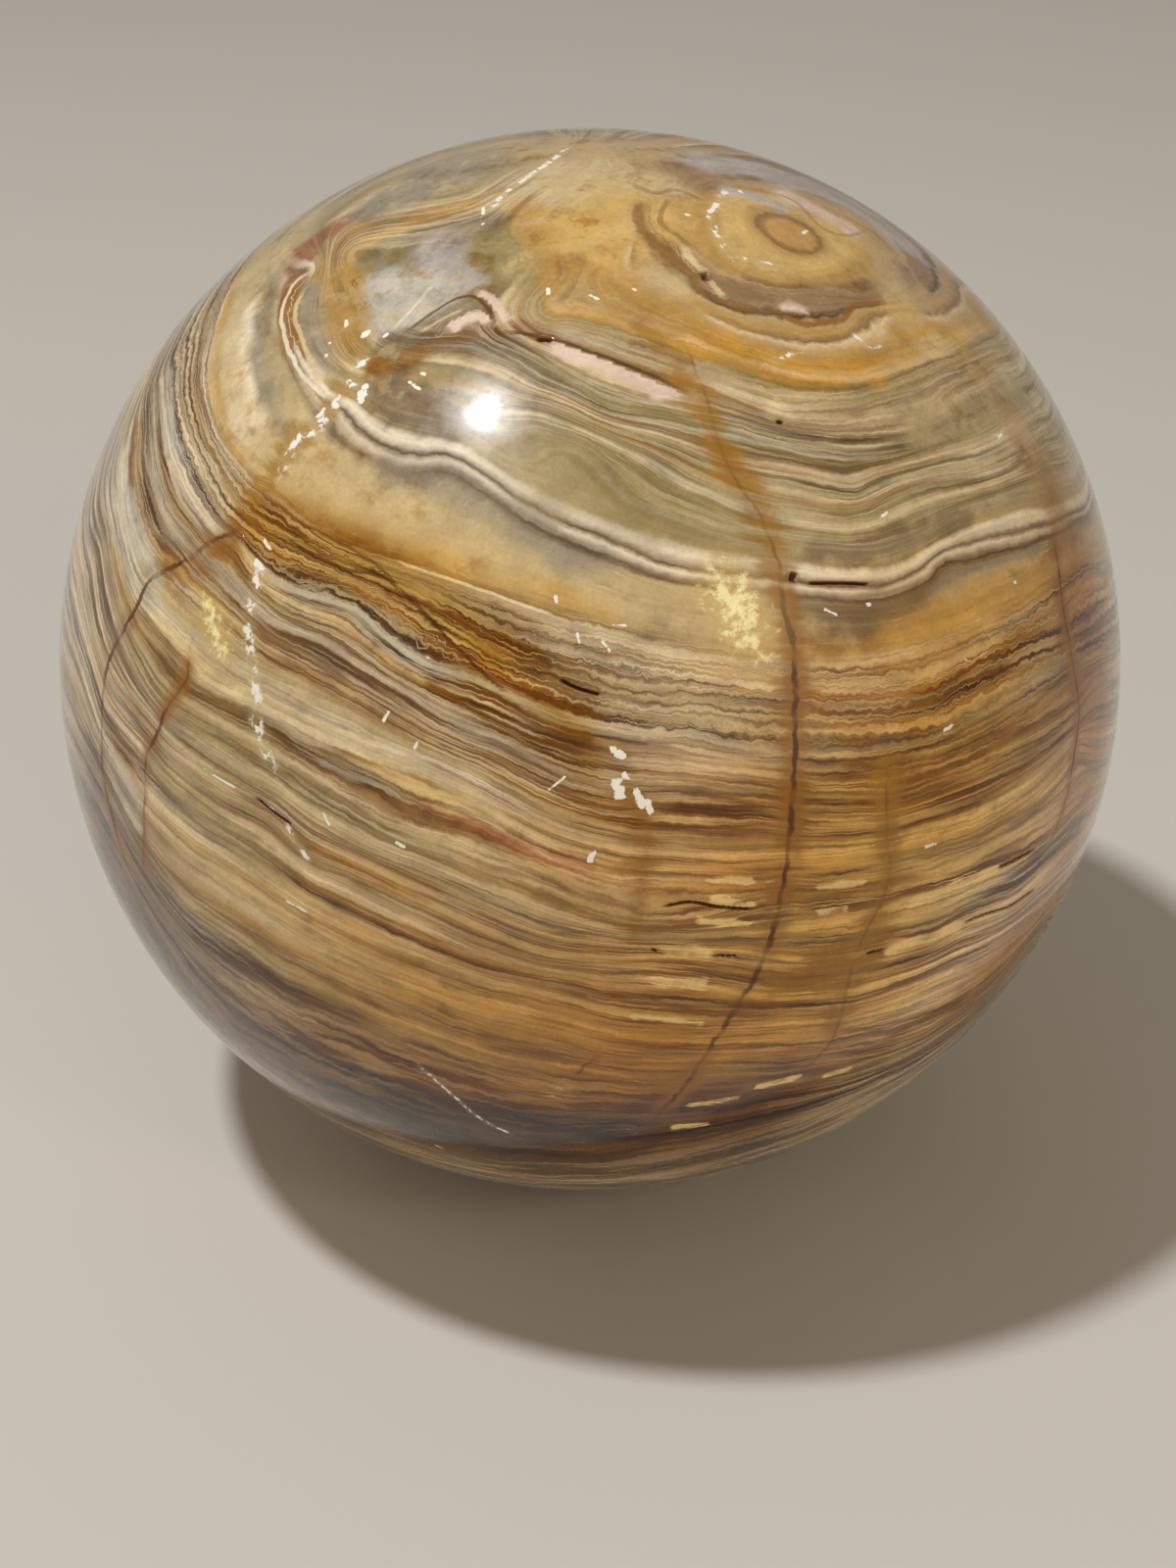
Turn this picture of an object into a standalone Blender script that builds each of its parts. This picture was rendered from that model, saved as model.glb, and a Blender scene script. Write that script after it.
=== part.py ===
"""A polished ball of banded onyx, modelled in metres with +Z up and its origin where it stands.

The ball is one piece of stone. It is a true sphere but for a small spot ground flat underneath,
which keeps it from rolling.
"""

import bmesh
import bpy
from mathutils import Matrix, Vector

BALL_DIAMETER = 0.100
REST_FLAT_DIAMETER = 0.016

MERIDIANS = 64
PARALLELS = 32

STONE_COLOUR = (0.42, 0.27, 0.13, 1.0)
STONE_ROUGHNESS = 0.12
STONE_IOR = 1.55
SHARP_EDGE = 0.12

BALL_RADIUS = BALL_DIAMETER / 2
REST_FLAT_RADIUS = REST_FLAT_DIAMETER / 2
# The flat is a chord of the ball, so the ball's centre stands this far above it.
CENTRE_HEIGHT = (BALL_RADIUS**2 - REST_FLAT_RADIUS**2) ** 0.5


def clear_scene():
    for existing in list(bpy.data.objects):
        bpy.data.objects.remove(existing, do_unlink=True)


def polished_stone():
    material = bpy.data.materials.new("banded_onyx")
    material.use_nodes = True
    shader = material.node_tree.nodes["Principled BSDF"]
    shader.inputs["Base Color"].default_value = STONE_COLOUR
    shader.inputs["Roughness"].default_value = STONE_ROUGHNESS
    shader.inputs["IOR"].default_value = STONE_IOR
    return material


def grind_flat(ball):
    """Cuts the ball off level at z = 0 and closes the cut with one flat face."""
    cut = bmesh.ops.bisect_plane(
        ball,
        geom=ball.verts[:] + ball.edges[:] + ball.faces[:],
        plane_co=Vector((0, 0, 0)),
        plane_no=Vector((0, 0, -1)),
        clear_outer=True,
    )
    rim = [item for item in cut["geom_cut"] if isinstance(item, bmesh.types.BMEdge)]
    bmesh.ops.contextual_create(ball, geom=rim)


def onyx_ball(collection):
    ball = bmesh.new()
    bmesh.ops.create_uvsphere(
        ball,
        u_segments=MERIDIANS,
        v_segments=PARALLELS,
        radius=BALL_RADIUS,
        matrix=Matrix.Translation((0, 0, CENTRE_HEIGHT)),
    )
    grind_flat(ball)
    bmesh.ops.recalc_face_normals(ball, faces=ball.faces)
    mesh = bpy.data.meshes.new("onyx_sphere")
    ball.to_mesh(mesh)
    ball.free()
    mesh.shade_smooth()
    mesh.set_sharp_from_angle(angle=SHARP_EDGE)
    mesh.materials.append(polished_stone())
    stone = bpy.data.objects.new("onyx_sphere", mesh)
    collection.objects.link(stone)
    return stone


def main():
    clear_scene()
    collection = bpy.data.collections.new("banded_onyx_sphere")
    bpy.context.scene.collection.children.link(collection)
    onyx_ball(collection)


main()
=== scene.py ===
"""Dresses a polished ball of banded onyx: its beds, healed cracks, stains and open pits.

The stone is one mesh with one procedural material. Its beds follow guide lines that were read on
the photograph and carried onto the ball. A field worked out from them numbers the beds
everywhere, and the material colours the stone by that number.
"""

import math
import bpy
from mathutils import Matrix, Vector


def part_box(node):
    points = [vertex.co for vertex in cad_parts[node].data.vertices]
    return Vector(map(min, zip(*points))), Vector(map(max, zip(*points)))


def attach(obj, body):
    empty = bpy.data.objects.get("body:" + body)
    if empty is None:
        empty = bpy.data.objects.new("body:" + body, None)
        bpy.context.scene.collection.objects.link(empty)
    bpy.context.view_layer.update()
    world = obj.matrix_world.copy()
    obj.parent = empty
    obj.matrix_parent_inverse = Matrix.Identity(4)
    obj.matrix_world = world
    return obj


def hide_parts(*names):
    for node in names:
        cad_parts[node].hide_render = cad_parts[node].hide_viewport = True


bl_info = {
    "name": "Banded Onyx Ball",
    "version": (1, 0, 0),
    "blender": (4, 5, 0),
    "location": "View3D > Sidebar > Onyx Ball",
    "description": "Makes a polished ball of banded onyx on a plain stage",
    "category": "Add Mesh",
}

import bmesh
import bpy
import numpy as np
from mathutils import Vector

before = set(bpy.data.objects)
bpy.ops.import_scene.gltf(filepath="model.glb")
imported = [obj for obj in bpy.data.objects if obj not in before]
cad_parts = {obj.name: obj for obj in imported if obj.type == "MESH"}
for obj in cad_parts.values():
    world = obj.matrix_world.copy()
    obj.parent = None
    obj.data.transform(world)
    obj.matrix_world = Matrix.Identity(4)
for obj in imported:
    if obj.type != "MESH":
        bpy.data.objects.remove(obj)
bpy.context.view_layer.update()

STONE_NODE = "onyx_sphere"
LOW_CORNER, HIGH_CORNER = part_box(STONE_NODE)
BALL_RADIUS = (HIGH_CORNER.x - LOW_CORNER.x) / 2
BALL_CENTRE = Vector((0, 0, HIGH_CORNER.z - BALL_RADIUS))
CENTRE = np.array(BALL_CENTRE)

# The photograph's frame, and the circle that the ball fills in it, in pixels.
PHOTO_WIDTH = 1200
PHOTO_HEIGHT = 1600
BALL_X = 602
BALL_Y = 677
BALL_RADIUS_PX = 541
FOCAL_PX = 2800
LOOK_DOWN = math.radians(28)

# The eye of the pattern, round which the beds close.
EYE_X = 805
EYE_Y = 238

# Guide lines of the beds: bed number and course in photo pixels. The numbers count away from the
# eye, about one to a millimetre of stone.
BED_LINES = {
    "eye": (23.3, ((805, 238),)),
    "eye rim": (25.5, (
        (767, 220), (772, 236), (797, 254), (826, 262), (842, 256), (837, 240), (812, 222),
        (783, 214), (767, 220))),
    "yellow rim": (29.0, (
        (712, 215), (722, 250), (745, 272), (790, 285), (840, 284), (885, 270), (905, 250))),
    "mauve ring": (31.5, (
        (664, 205), (668, 238), (691, 263), (722, 284), (760, 299), (811, 309), (850, 309),
        (888, 308), (905, 305), (935, 285))),
    "mauve ring behind": (31.0, (
        (690, 172), (740, 180), (800, 185), (860, 205), (905, 235), (930, 262))),
    "haze": (34.5, (
        (655, 158), (720, 150), (800, 158), (870, 185), (930, 225), (965, 262), (975, 300))),
    "red line": (33.2, (
        (660, 262), (690, 288), (727, 310), (760, 322), (792, 327), (824, 330), (857, 327),
        (874, 316), (900, 312), (940, 305))),
    "cream thread": (35.4, (
        (640, 275), (680, 303), (727, 326), (758, 339), (786, 347), (824, 354), (868, 350),
        (900, 335))),
    "honey foot": (38.7, (
        (560, 318), (600, 322), (640, 332), (690, 350), (727, 362), (773, 378), (824, 388),
        (875, 390), (913, 380), (950, 366), (985, 352))),
    "stripe": (41.0, (
        (727, 393), (760, 405), (799, 416), (840, 417), (875, 413), (926, 400), (968, 380),
        (1003, 365))),
    "first cream": (43.8, (
        (517, 342), (561, 364), (586, 377), (624, 394), (680, 410), (720, 418), (757, 427),
        (800, 440), (861, 448), (910, 446), (950, 434), (985, 415), (1015, 395))),
    "second cream": (48.4, (
        (510, 385), (540, 400), (573, 411), (624, 433), (675, 446), (724, 466), (757, 475),
        (831, 490), (868, 497), (894, 486), (950, 472), (1005, 457), (1040, 440))),
    "third cream": (53.2, (
        (550, 425), (599, 443), (650, 469), (688, 494), (724, 510), (760, 525), (793, 533),
        (836, 540), (875, 543), (905, 532), (935, 520), (980, 505), (1040, 487), (1070, 470))),
    "white line": (58.4, (
        (319, 275), (297, 294), (289, 320), (297, 349), (312, 379), (334, 405), (356, 416),
        (378, 438), (408, 453), (460, 460), (497, 479), (534, 505), (578, 527), (617, 542),
        (672, 564), (728, 575), (783, 582), (802, 584), (839, 590), (894, 592), (931, 579),
        (957, 560), (987, 549), (1024, 538), (1072, 527), (1105, 512))),
    "white line head": (57.0, (
        (430, 440), (475, 452), (520, 480), (580, 509), (650, 536), (730, 557), (790, 566),
        (850, 573), (900, 575), (945, 557), (985, 535), (1040, 517))),
    "inner white": (56.6, ((318, 290), (303, 305), (304, 342), (319, 372), (341, 394))),
    "honey arc": (50.5, (
        (350, 330), (341, 300), (338, 265), (352, 236), (390, 222), (430, 216), (480, 205),
        (520, 182), (560, 160))),
    "pool": (45.5, ((400, 335), (385, 300), (400, 260), (450, 245), (500, 235))),
    "pool heart": (46.3, ((440, 300), (470, 275), (520, 262))),
    "fan": (45.2, ((440, 335), (480, 330))),
    "cloud": (37.5, ((560, 240), (600, 220), (640, 200), (620, 260), (660, 170))),
    "shoulder": (54.0, ((330, 225), (380, 190), (440, 168), (500, 152), (560, 143))),
    "milky band": (62.0, (
        (256, 300), (248, 340), (250, 385), (262, 422), (285, 455), (320, 480), (360, 503),
        (400, 518), (450, 534), (500, 550), (550, 570), (600, 590), (660, 608), (728, 620),
        (790, 627), (850, 632), (900, 629), (950, 614), (1000, 592), (1050, 574), (1090, 555))),
    "ochre head": (66.0, (
        (222, 330), (213, 365), (213, 400), (223, 438), (243, 466), (262, 487), (299, 515),
        (322, 535), (348, 553), (386, 566), (437, 581), (480, 598), (563, 627), (611, 637),
        (672, 652), (740, 664), (800, 672), (850, 674), (903, 668), (955, 655), (990, 642),
        (1041, 618), (1079, 592), (1110, 570))),
    "crinkled line": (73.0, (
        (190, 360), (187, 400), (196, 440), (212, 480), (234, 518), (266, 546), (304, 566),
        (348, 586), (381, 601), (406, 614), (437, 632), (463, 649), (500, 669), (535, 684),
        (579, 697), (617, 711), (655, 719), (719, 723), (762, 729), (836, 734), (887, 734),
        (918, 731), (954, 724), (979, 709), (1002, 698), (1028, 683), (1053, 670), (1079, 660),
        (1115, 640))),
    "lavender line": (76.5, (
        (171, 370), (175, 434), (193, 490), (219, 531), (245, 552), (267, 579), (300, 601),
        (356, 619), (393, 649), (430, 675), (481, 692), (553, 724), (591, 738), (624, 746),
        (700, 757), (760, 765), (830, 769), (895, 766), (950, 755), (1000, 735), (1050, 705),
        (1090, 680), (1120, 665))),
    "mauve band": (82.3, (
        (148, 420), (150, 480), (165, 530), (195, 570), (225, 600), (262, 634), (284, 652),
        (335, 676), (373, 700), (400, 715), (451, 747), (502, 768), (553, 794), (600, 810),
        (640, 817), (700, 817), (760, 823), (840, 832), (903, 830), (964, 812), (1015, 792),
        (1066, 762), (1100, 735))),
    "cream band": (86.6, (
        (150, 380), (126, 443), (118, 489), (128, 553), (141, 592), (165, 622), (195, 648),
        (223, 672), (264, 697), (312, 719), (363, 745), (427, 773), (470, 791), (502, 806),
        (553, 834), (604, 853), (645, 863), (700, 867), (760, 868), (850, 865), (898, 859),
        (939, 849), (990, 834), (1041, 808), (1066, 788), (1100, 755))),
    "red streak": (89.6, (
        (157, 660), (200, 705), (250, 730), (310, 762), (376, 793), (433, 825), (489, 843),
        (527, 861), (579, 880), (617, 890), (655, 895), (760, 898), (850, 894), (898, 888),
        (950, 876), (1000, 860), (1060, 826), (1095, 795))),
    "grey band": (93.5, (
        (103, 560), (110, 610), (125, 660), (145, 700), (172, 731), (223, 766), (274, 797),
        (312, 824), (363, 854), (414, 876), (470, 899), (531, 925), (582, 943), (633, 952),
        (700, 955), (770, 952))),
    "open line": (97.0, (
        (92, 590), (102, 650), (125, 700), (167, 752), (185, 769), (213, 790), (249, 810),
        (274, 823), (294, 838), (315, 856), (376, 884), (427, 907), (480, 931), (531, 953),
        (582, 966), (669, 971), (742, 976), (811, 984), (862, 979), (908, 969), (954, 957),
        (984, 942), (1028, 926), (1061, 900), (1095, 868))),
    "low line": (102.8, (
        (90, 680), (110, 740), (154, 794), (180, 819), (213, 843), (249, 864), (289, 892),
        (325, 915), (359, 932), (410, 954), (461, 976), (512, 992), (580, 1006), (633, 1017),
        (735, 1026), (821, 1025), (872, 1020), (923, 1006), (964, 988), (1015, 965), (1050, 940),
        (1085, 905))),
    "dark edge": (111.0, (
        (105, 800), (140, 870), (180, 925), (249, 976), (287, 1002), (333, 1021), (379, 1041),
        (435, 1063), (486, 1081), (537, 1094), (613, 1105), (671, 1109), (740, 1109), (811, 1101),
        (887, 1087), (938, 1067), (990, 1033), (1028, 994), (1060, 950))),
    "foot": (116.5, (
        (130, 905), (180, 1002), (231, 1060), (307, 1112), (366, 1138), (410, 1155), (440, 1164),
        (513, 1180), (600, 1182), (658, 1174), (735, 1160), (831, 1133), (880, 1113), (930, 1088),
        (980, 1052), (1030, 1005))),
}

# Bed numbers on the side that the photograph hides, by the angle from the eye in degrees.
HIDDEN_ANGLES = (0, 90, 112, 130, 180)
HIDDEN_BEDS = (23.3, 96, 110, 119, 150)

# The most stops that a colour ramp holds, and the width of the camera's sensor.
RAMP_STOPS = 32
SENSOR_MM = 36

# How strongly the beds crinkle, and how strongly fine lines show in them, by bed number.
CRINKLE = (
    (22, 0.9), (34, 1.0), (38, 0.6), (44, 0.35), (56, 0.25), (58, 0.45), (60, 0.45), (61, 0.3),
    (65, 0.6), (68, 1.5), (75, 1.6), (77, 0.5), (90, 0.35), (110, 0.3), (150, 0.6),
)
LINES = (
    (22, 0.1), (29, 0.2), (36, 0.08), (39, 0.3), (44, 0.55), (53, 0.5), (55, 0.2), (57.5, 0.1),
    (60, 0.3), (61, 0.08), (65, 0.12), (67, 0.8), (75, 0.8), (82, 0.7), (86, 0.8), (92, 0.9),
    (97, 1.0), (105, 1.0), (111, 0.9), (118, 0.9), (150, 0.7),
)
# Sets of fine lines: lines per bed, change along the bed per mm, share, tone and strength.
FINE_LINES = (
    (0.42, 0.030, 0.53, "chestnut", 0.75),
    (0.55, 0.035, 0.55, "ivory", 0.60),
    (1.1, 0.050, 0.56, "chestnut", 0.75),
    (1.5, 0.070, 0.56, "cream", 0.70),
    (2.7, 0.090, 0.57, "umber", 0.50),
    (3.4, 0.100, 0.57, "ivory", 0.52),
)

# What colour each bed has, from the eye down to the foot and on over the hidden side.
BED_COLOURS = (
    (22.0, "honey"), (24.2, "amber"), (25.0, "chestnut"), (25.5, "honey"), (26.6, "straw"),
    (27.8, "straw"), (29.0, "honey"), (30.2, "tan"), (31.2, "chestnut"), (32.2, "mauve"),
    (32.8, "umber"), (33.2, "sand"), (34.2, "honey"), (34.9, "chestnut"), (35.3, "cream"),
    (35.9, "wheat"), (36.8, "honey"), (38.0, "gold"), (38.8, "honey"), (39.3, "moss"),
    (39.9, "sand"), (40.4, "olive"), (41.2, "sand"), (41.7, "tan"), (42.4, "sand"), (43.2, "cream"),
    (43.6, "sand"), (43.9, "taupe"), (44.4, "olive"), (45.4, "moss"), (46.4, "olive"),
    (47.4, "sand"), (48.2, "cream"), (48.6, "moss"), (49.6, "olive"), (50.4, "tan"), (51.2, "sage"),
    (52.0, "olive"), (52.8, "cream"), (53.3, "sand"), (53.8, "olive"), (55.0, "sage"),
    (56.2, "sage"), (57.2, "sand"), (57.8, "ivory"), (58.5, "ivory"), (58.75, "mauve"),
    (59.05, "umber"), (59.3, "sand"), (59.6, "ivory"), (59.8, "cream"), (60.1, "umber"),
    (60.5, "taupe"), (61.2, "grey"), (62.2, "milk"), (63.6, "milk"), (64.6, "milk"),
    (65.5, "straw"), (66.2, "sand"), (66.6, "chestnut"), (67.2, "sand"), (68.2, "tan"),
    (68.9, "sand"), (69.8, "tan"), (70.6, "sand"), (71.2, "umber"), (71.6, "sand"), (72.3, "cream"),
    (72.8, "umber"), (73.3, "cream"), (73.8, "chestnut"), (74.4, "cream"), (75.0, "taupe"),
    (75.6, "umber"), (76.2, "lavender"), (76.6, "taupe"), (77.2, "umber"), (77.6, "cream"),
    (78.4, "wheat"), (79.2, "tan"), (80.0, "wheat"), (80.8, "umber"), (81.4, "mauve"),
    (82.6, "mauve"), (83.3, "chestnut"), (83.8, "wheat"), (84.4, "chestnut"), (85.2, "sand"),
    (86.0, "cream"), (86.6, "ivory"), (87.6, "cream"), (88.4, "cream"), (89.0, "sand"),
    (89.6, "tan"), (90.2, "wheat"), (90.8, "cream"), (91.6, "tan"), (92.4, "sand"), (93.2, "slate"),
    (93.9, "chestnut"), (94.6, "slate"), (95.4, "sand"), (96.2, "cream"), (96.6, "chestnut"),
    (97.0, "umber"), (97.4, "wheat"), (98.4, "cream"), (99.0, "tan"), (99.7, "chestnut"),
    (100.4, "wheat"), (101.1, "ivory"), (101.8, "wheat"), (102.5, "chestnut"), (102.9, "umber"),
    (103.3, "wheat"), (104.2, "cream"), (105.0, "wheat"), (106.0, "cream"), (106.8, "wheat"),
    (107.4, "cream"), (108.3, "wheat"), (109.0, "chestnut"), (109.6, "tan"), (110.2, "cream"),
    (110.8, "tan"), (111.2, "chestnut"), (112.0, "tan"), (112.8, "chestnut"), (113.6, "rust"),
    (114.2, "bark"), (115.6, "bark"), (116.4, "chestnut"), (117.4, "tan"), (118.4, "umber"),
    (119.6, "wheat"), (121.0, "umber"), (122.4, "tan"), (124.0, "sand"), (125.0, "ochre"),
    (127.2, "cream"), (128.4, "tan"), (130.0, "chestnut"), (132.0, "honey"), (134.0, "milk"),
    (135.4, "taupe"), (138.0, "sage"), (141.0, "cream"), (142.4, "rust"), (145.0, "honey"),
    (148.0, "straw"), (151.0, "amber"),
)

# The clearest lines, drawn over the clouds: bed number, tone and strength.
INKS = (
    (42.6, "cream", 0.0), (43.0, "cream", 0.8), (43.4, "cream", 0.8), (43.7, "umber", 0.35),
    (44.1, "umber", 0.35), (44.5, "umber", 0.0), (47.8, "cream", 0.0), (48.1, "cream", 0.7),
    (48.4, "cream", 0.7), (48.7, "umber", 0.4), (49.1, "umber", 0.0), (57.5, "ivory", 0.0),
    (57.8, "ivory", 1.0), (58.45, "ivory", 1.0), (58.7, "umber", 0.9), (59.05, "umber", 0.9),
    (59.3, "ivory", 0.9), (59.65, "ivory", 0.9), (59.9, "umber", 0.8), (60.2, "umber", 0.8),
    (60.6, "umber", 0.0), (72.5, "umber", 0.0), (72.8, "umber", 0.75), (73.05, "umber", 0.75),
    (73.3, "cream", 0.5), (73.8, "cream", 0.0), (75.7, "lavender", 0.0), (76.2, "lavender", 0.45),
    (76.8, "lavender", 0.45), (77.05, "umber", 0.5), (77.5, "umber", 0.0), (150.0, "umber", 0.0),
)

# Soft clouds that lie over the beds: tone, strength, half-width in mm and course in pixels. Here
# and below, a negative x lies on the far side, where a camera turned half round would see it.
CLOUDS = {
    "honey cloud": ("straw", 0.95, 4.6, ((600, 235), (640, 220))),
    "honey cloud top": ("milk", 0.95, 4.0, ((560, 192), (600, 175), (650, 178))),
    "honey cloud side": ("honey", 0.95, 1.8, ((535, 205), (550, 235), (556, 270), (590, 292))),
    "honey cloud foot": ("honey", 0.9, 2.4, ((610, 292), (650, 298), (690, 325))),
    "honey cloud shade": ("ochre", 0.6, 0.8, ((566, 262), (588, 276), (606, 284))),
    "pale hollow": ("milk", 0.8, 1.7, ((668, 288), (688, 292))),
    "sand top": ("sand", 0.95, 3.2, ((585, 150), (640, 148))),
    "pool": ("olive", 0.98, 2.4, ((490, 262), (520, 262), (530, 272))),
    "pool shade": ("taupe", 0.95, 1.3, ((425, 242), (450, 232), (478, 226), (505, 225))),
    "pool foot": ("taupe", 0.95, 1.6, ((405, 352), (440, 345), (475, 345), (510, 352))),
    "lilac pool": ("lavender", 0.98, 1.9, ((448, 248), (460, 266), (472, 282))),
    "lilac foot": ("mauve", 0.85, 0.9, ((470, 300), (492, 300))),
    "grey fan": ("silver", 0.98, 2.2, ((398, 292), (415, 305), (432, 292), (405, 318))),
    "fan side": ("silver", 0.98, 1.1, ((425, 322), (450, 306), (470, 296))),
    "fan ribs": ("slate", 0.95, 0.9, ((425, 338), (450, 324), (478, 314))),
    "stained fan": ("ochre", 0.95, 0.9, ((382, 372), (408, 366), (438, 352), (462, 342))),
    "stained fold": ("rust", 0.95, 0.9, ((470, 345), (500, 338), (530, 333), (556, 342))),
    # Painted reflection: a pale sand haze along the top limb.
    "painted top haze": ("sand", 0.98, 4.0, ((520, 155), (560, 150), (640, 150))),
    "grey shoulder": ("grey", 0.98, 3.4, ((395, 205), (430, 185), (500, 160))),
    "honey arc": ("honey", 0.98, 2.1, ((352, 348), (345, 310), (345, 272), (362, 240))),
    "honey arc shade": ("ochre", 0.55, 0.6, ((350, 345), (343, 300), (348, 262))),
    "arc ridge": ("gold", 0.9, 0.7, ((378, 245), (417, 228), (451, 218), (490, 209))),
    "red shoulder": ("brick", 0.95, 1.5, ((298, 288), (306, 268), (320, 248), (342, 232))),
    "grey crescent": ("grey", 0.98, 1.5, ((318, 298), (320, 330), (332, 362))),
    "crescent foot": ("pink", 0.85, 0.7, ((316, 368), (324, 386))),
    "arc gap": ("ochre", 0.98, 1.0, ((298, 292), (294, 318), (296, 345), (306, 372))),
    "rim outside": ("milk", 0.98, 2.0, ((266, 282), (280, 260), (300, 235), (320, 215))),
    "arc outside": ("sage", 0.98, 1.0, (
        (290, 270), (274, 300), (274, 345), (286, 382), (308, 410))),
    "mauve crown": ("mauve", 0.9, 2.0, ((660, 172), (690, 172), (712, 184))),
    "pale crown": ("lavender", 0.95, 2.4, (
        (720, 165), (770, 172), (830, 190), (885, 218), (925, 250))),
    "pale crown foot": ("lavender", 0.8, 1.0, ((745, 195), (775, 202), (795, 210))),
    "pink crown": ("pink", 0.75, 1.5, ((805, 200), (832, 214), (862, 232))),
    "mauve spot": ("mauve", 0.95, 1.0, ((918, 270), (928, 288))),
    "mauve lobe": ("chestnut", 0.85, 1.0, ((655, 212), (657, 235), (680, 256), (712, 290))),
    "mauve sill": ("chestnut", 0.9, 1.2, ((748, 290), (790, 300), (840, 300), (885, 298))),
    "pink sill": ("pink", 0.7, 0.5, ((800, 312), (822, 318))),
    "eye flank": ("sand", 0.8, 2.4, ((905, 262), (912, 290), (935, 300))),
    "gold flank": ("straw", 0.85, 2.0, ((925, 325), (950, 350))),
    "gold foot": ("gold", 0.85, 1.6, ((700, 345), (740, 358), (790, 374), (840, 379), (895, 374))),
    "gold foot shade": ("ochre", 0.7, 0.8, ((655, 330), (668, 318), (700, 312))),
    "gold foot stain": ("ochre", 0.75, 0.8, ((648, 352), (672, 362), (695, 370))),
    "far honey": ("honey", 0.85, 5.0, ((-480, 300), (-600, 330), (-700, 380))),
    "far milk": ("milk", 0.8, 4.0, ((-700, 560), (-800, 600))),
    "far grey": ("grey", 0.8, 4.5, ((-250, 560), (-300, 700), (-380, 800))),
    "far ochre": ("ochre", 0.8, 3.5, ((-560, 700), (-660, 760), (-760, 790))),
    "dark right": ("taupe", 0.85, 1.1, ((835, 558), (880, 562), (930, 546), (985, 528))),
    "brown flank": ("tan", 0.85, 3.2, ((1015, 400), (1050, 455), (1085, 530))),
    "pale right end": ("sage", 0.9, 2.2, ((930, 436), (985, 425), (1040, 402))),
    "pale right": ("cream", 0.75, 0.9, ((790, 424), (850, 434), (910, 430), (960, 414))),
    "pale low left": ("sage", 0.8, 2.4, ((165, 790), (210, 835), (270, 880))),
    "silver limb": ("silver", 0.95, 2.0, (
        (119, 450), (116, 490), (125, 525), (140, 570), (152, 600))),
    "silver thread": ("silver", 0.95, 0.8, (
        (168, 385), (172, 440), (184, 485), (205, 521), (222, 537))),
    "grey arc": ("grey", 0.9, 0.9, ((276, 300), (267, 335), (268, 380), (280, 420), (300, 448))),
    "milk arc": ("ivory", 0.8, 0.6, ((258, 310), (250, 350), (254, 395), (268, 432))),
    "gold arc": ("gold", 0.6, 0.8, ((236, 300), (224, 345), (222, 390), (232, 440), (246, 470))),
    "milk spot": ("ivory", 0.7, 1.4, ((240, 425), (252, 440))),
    "brown corner": ("rust", 0.8, 1.4, ((170, 480), (185, 530), (205, 560))),
    "wedge": ("silver", 0.95, 2.0, ((110, 762), (124, 795), (134, 830))),
    "olive glass": ("olive", 0.95, 3.0, ((570, 465), (620, 500), (700, 530), (760, 545))),
    "pale glass": ("sage", 0.9, 1.8, ((500, 462), (545, 485), (600, 520))),
    "dark glass": ("taupe", 0.9, 2.4, ((400, 405), (430, 420), (460, 430))),
    "grey hollow": ("grey", 0.9, 1.8, ((400, 478), (450, 492), (500, 518), (560, 553), (610, 573))),
    "milky middle": ("milk", 0.9, 3.0, ((620, 605), (700, 612), (760, 620))),
    "milky left": ("milk", 0.8, 3.4, ((290, 430), (330, 490), (420, 525), (520, 575))),
    "yellow left": ("cream", 0.85, 2.0, ((232, 340), (238, 400), (260, 445))),
    "yellow foot": ("straw", 0.9, 1.8, ((430, 565), (500, 590), (550, 608), (610, 630))),
    "gold drops": ("gold", 0.6, 1.0, ((570, 608), (600, 622), (625, 632))),
    "yellow right": ("straw", 0.95, 2.2, ((920, 655), (965, 640), (1000, 622))),
    "yellow right end": ("straw", 0.95, 1.8, ((1030, 605), (1062, 592))),
    "brown right": ("taupe", 0.85, 2.2, ((835, 612), (880, 620), (925, 602))),
    "ochre belly": ("ochre", 0.98, 3.3, (
        (280, 548), (330, 562), (390, 586), (440, 614), (500, 662))),
    "ochre belly foot": ("ochre", 0.95, 2.0, ((500, 672), (560, 715), (590, 730))),
    "sand belly": ("sand", 0.8, 2.8, ((610, 668), (660, 680), (745, 692))),
    "rust belly": ("saffron", 0.85, 3.4, ((850, 705), (910, 702), (970, 690), (1030, 662))),
    "ochre under lavender": ("ochre", 0.9, 1.9, (
        (450, 715), (500, 742), (560, 768), (610, 790), (640, 830))),
    "pink belly": ("pink", 0.6, 1.8, ((670, 776), (710, 780), (760, 784))),
    "mauve belly": ("mauve", 0.9, 1.3, ((300, 658), (350, 685), (430, 730), (500, 765))),
    "rust right low": ("saffron", 0.7, 2.8, ((880, 790), (950, 815), (1000, 795))),
    "orange edge": ("straw", 0.75, 0.9, ((380, 780), (420, 800), (460, 820))),
    "orange low left": ("amber", 0.75, 1.0, ((325, 862), (380, 890), (440, 912))),
    "red streak": ("brick", 0.8, 0.7, ((425, 818), (470, 838), (520, 858), (600, 884))),
    "grey low left": ("sage", 0.75, 1.8, (
        (200, 748), (250, 783), (320, 818), (400, 860), (450, 880))),
    "dark left limb": ("bark", 0.85, 2.6, ((95, 780), (115, 850), (140, 905), (180, 965))),
    "bark foot": ("bark", 0.95, 3.0, ((400, 1130), (470, 1155), (560, 1165), (640, 1160))),
    "bark slope": ("rust", 0.6, 3.0, ((220, 985), (300, 1040), (400, 1080), (500, 1105))),
    "ochre corner": ("ochre", 0.7, 1.8, ((258, 520), (290, 535), (320, 545))),
}
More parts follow.
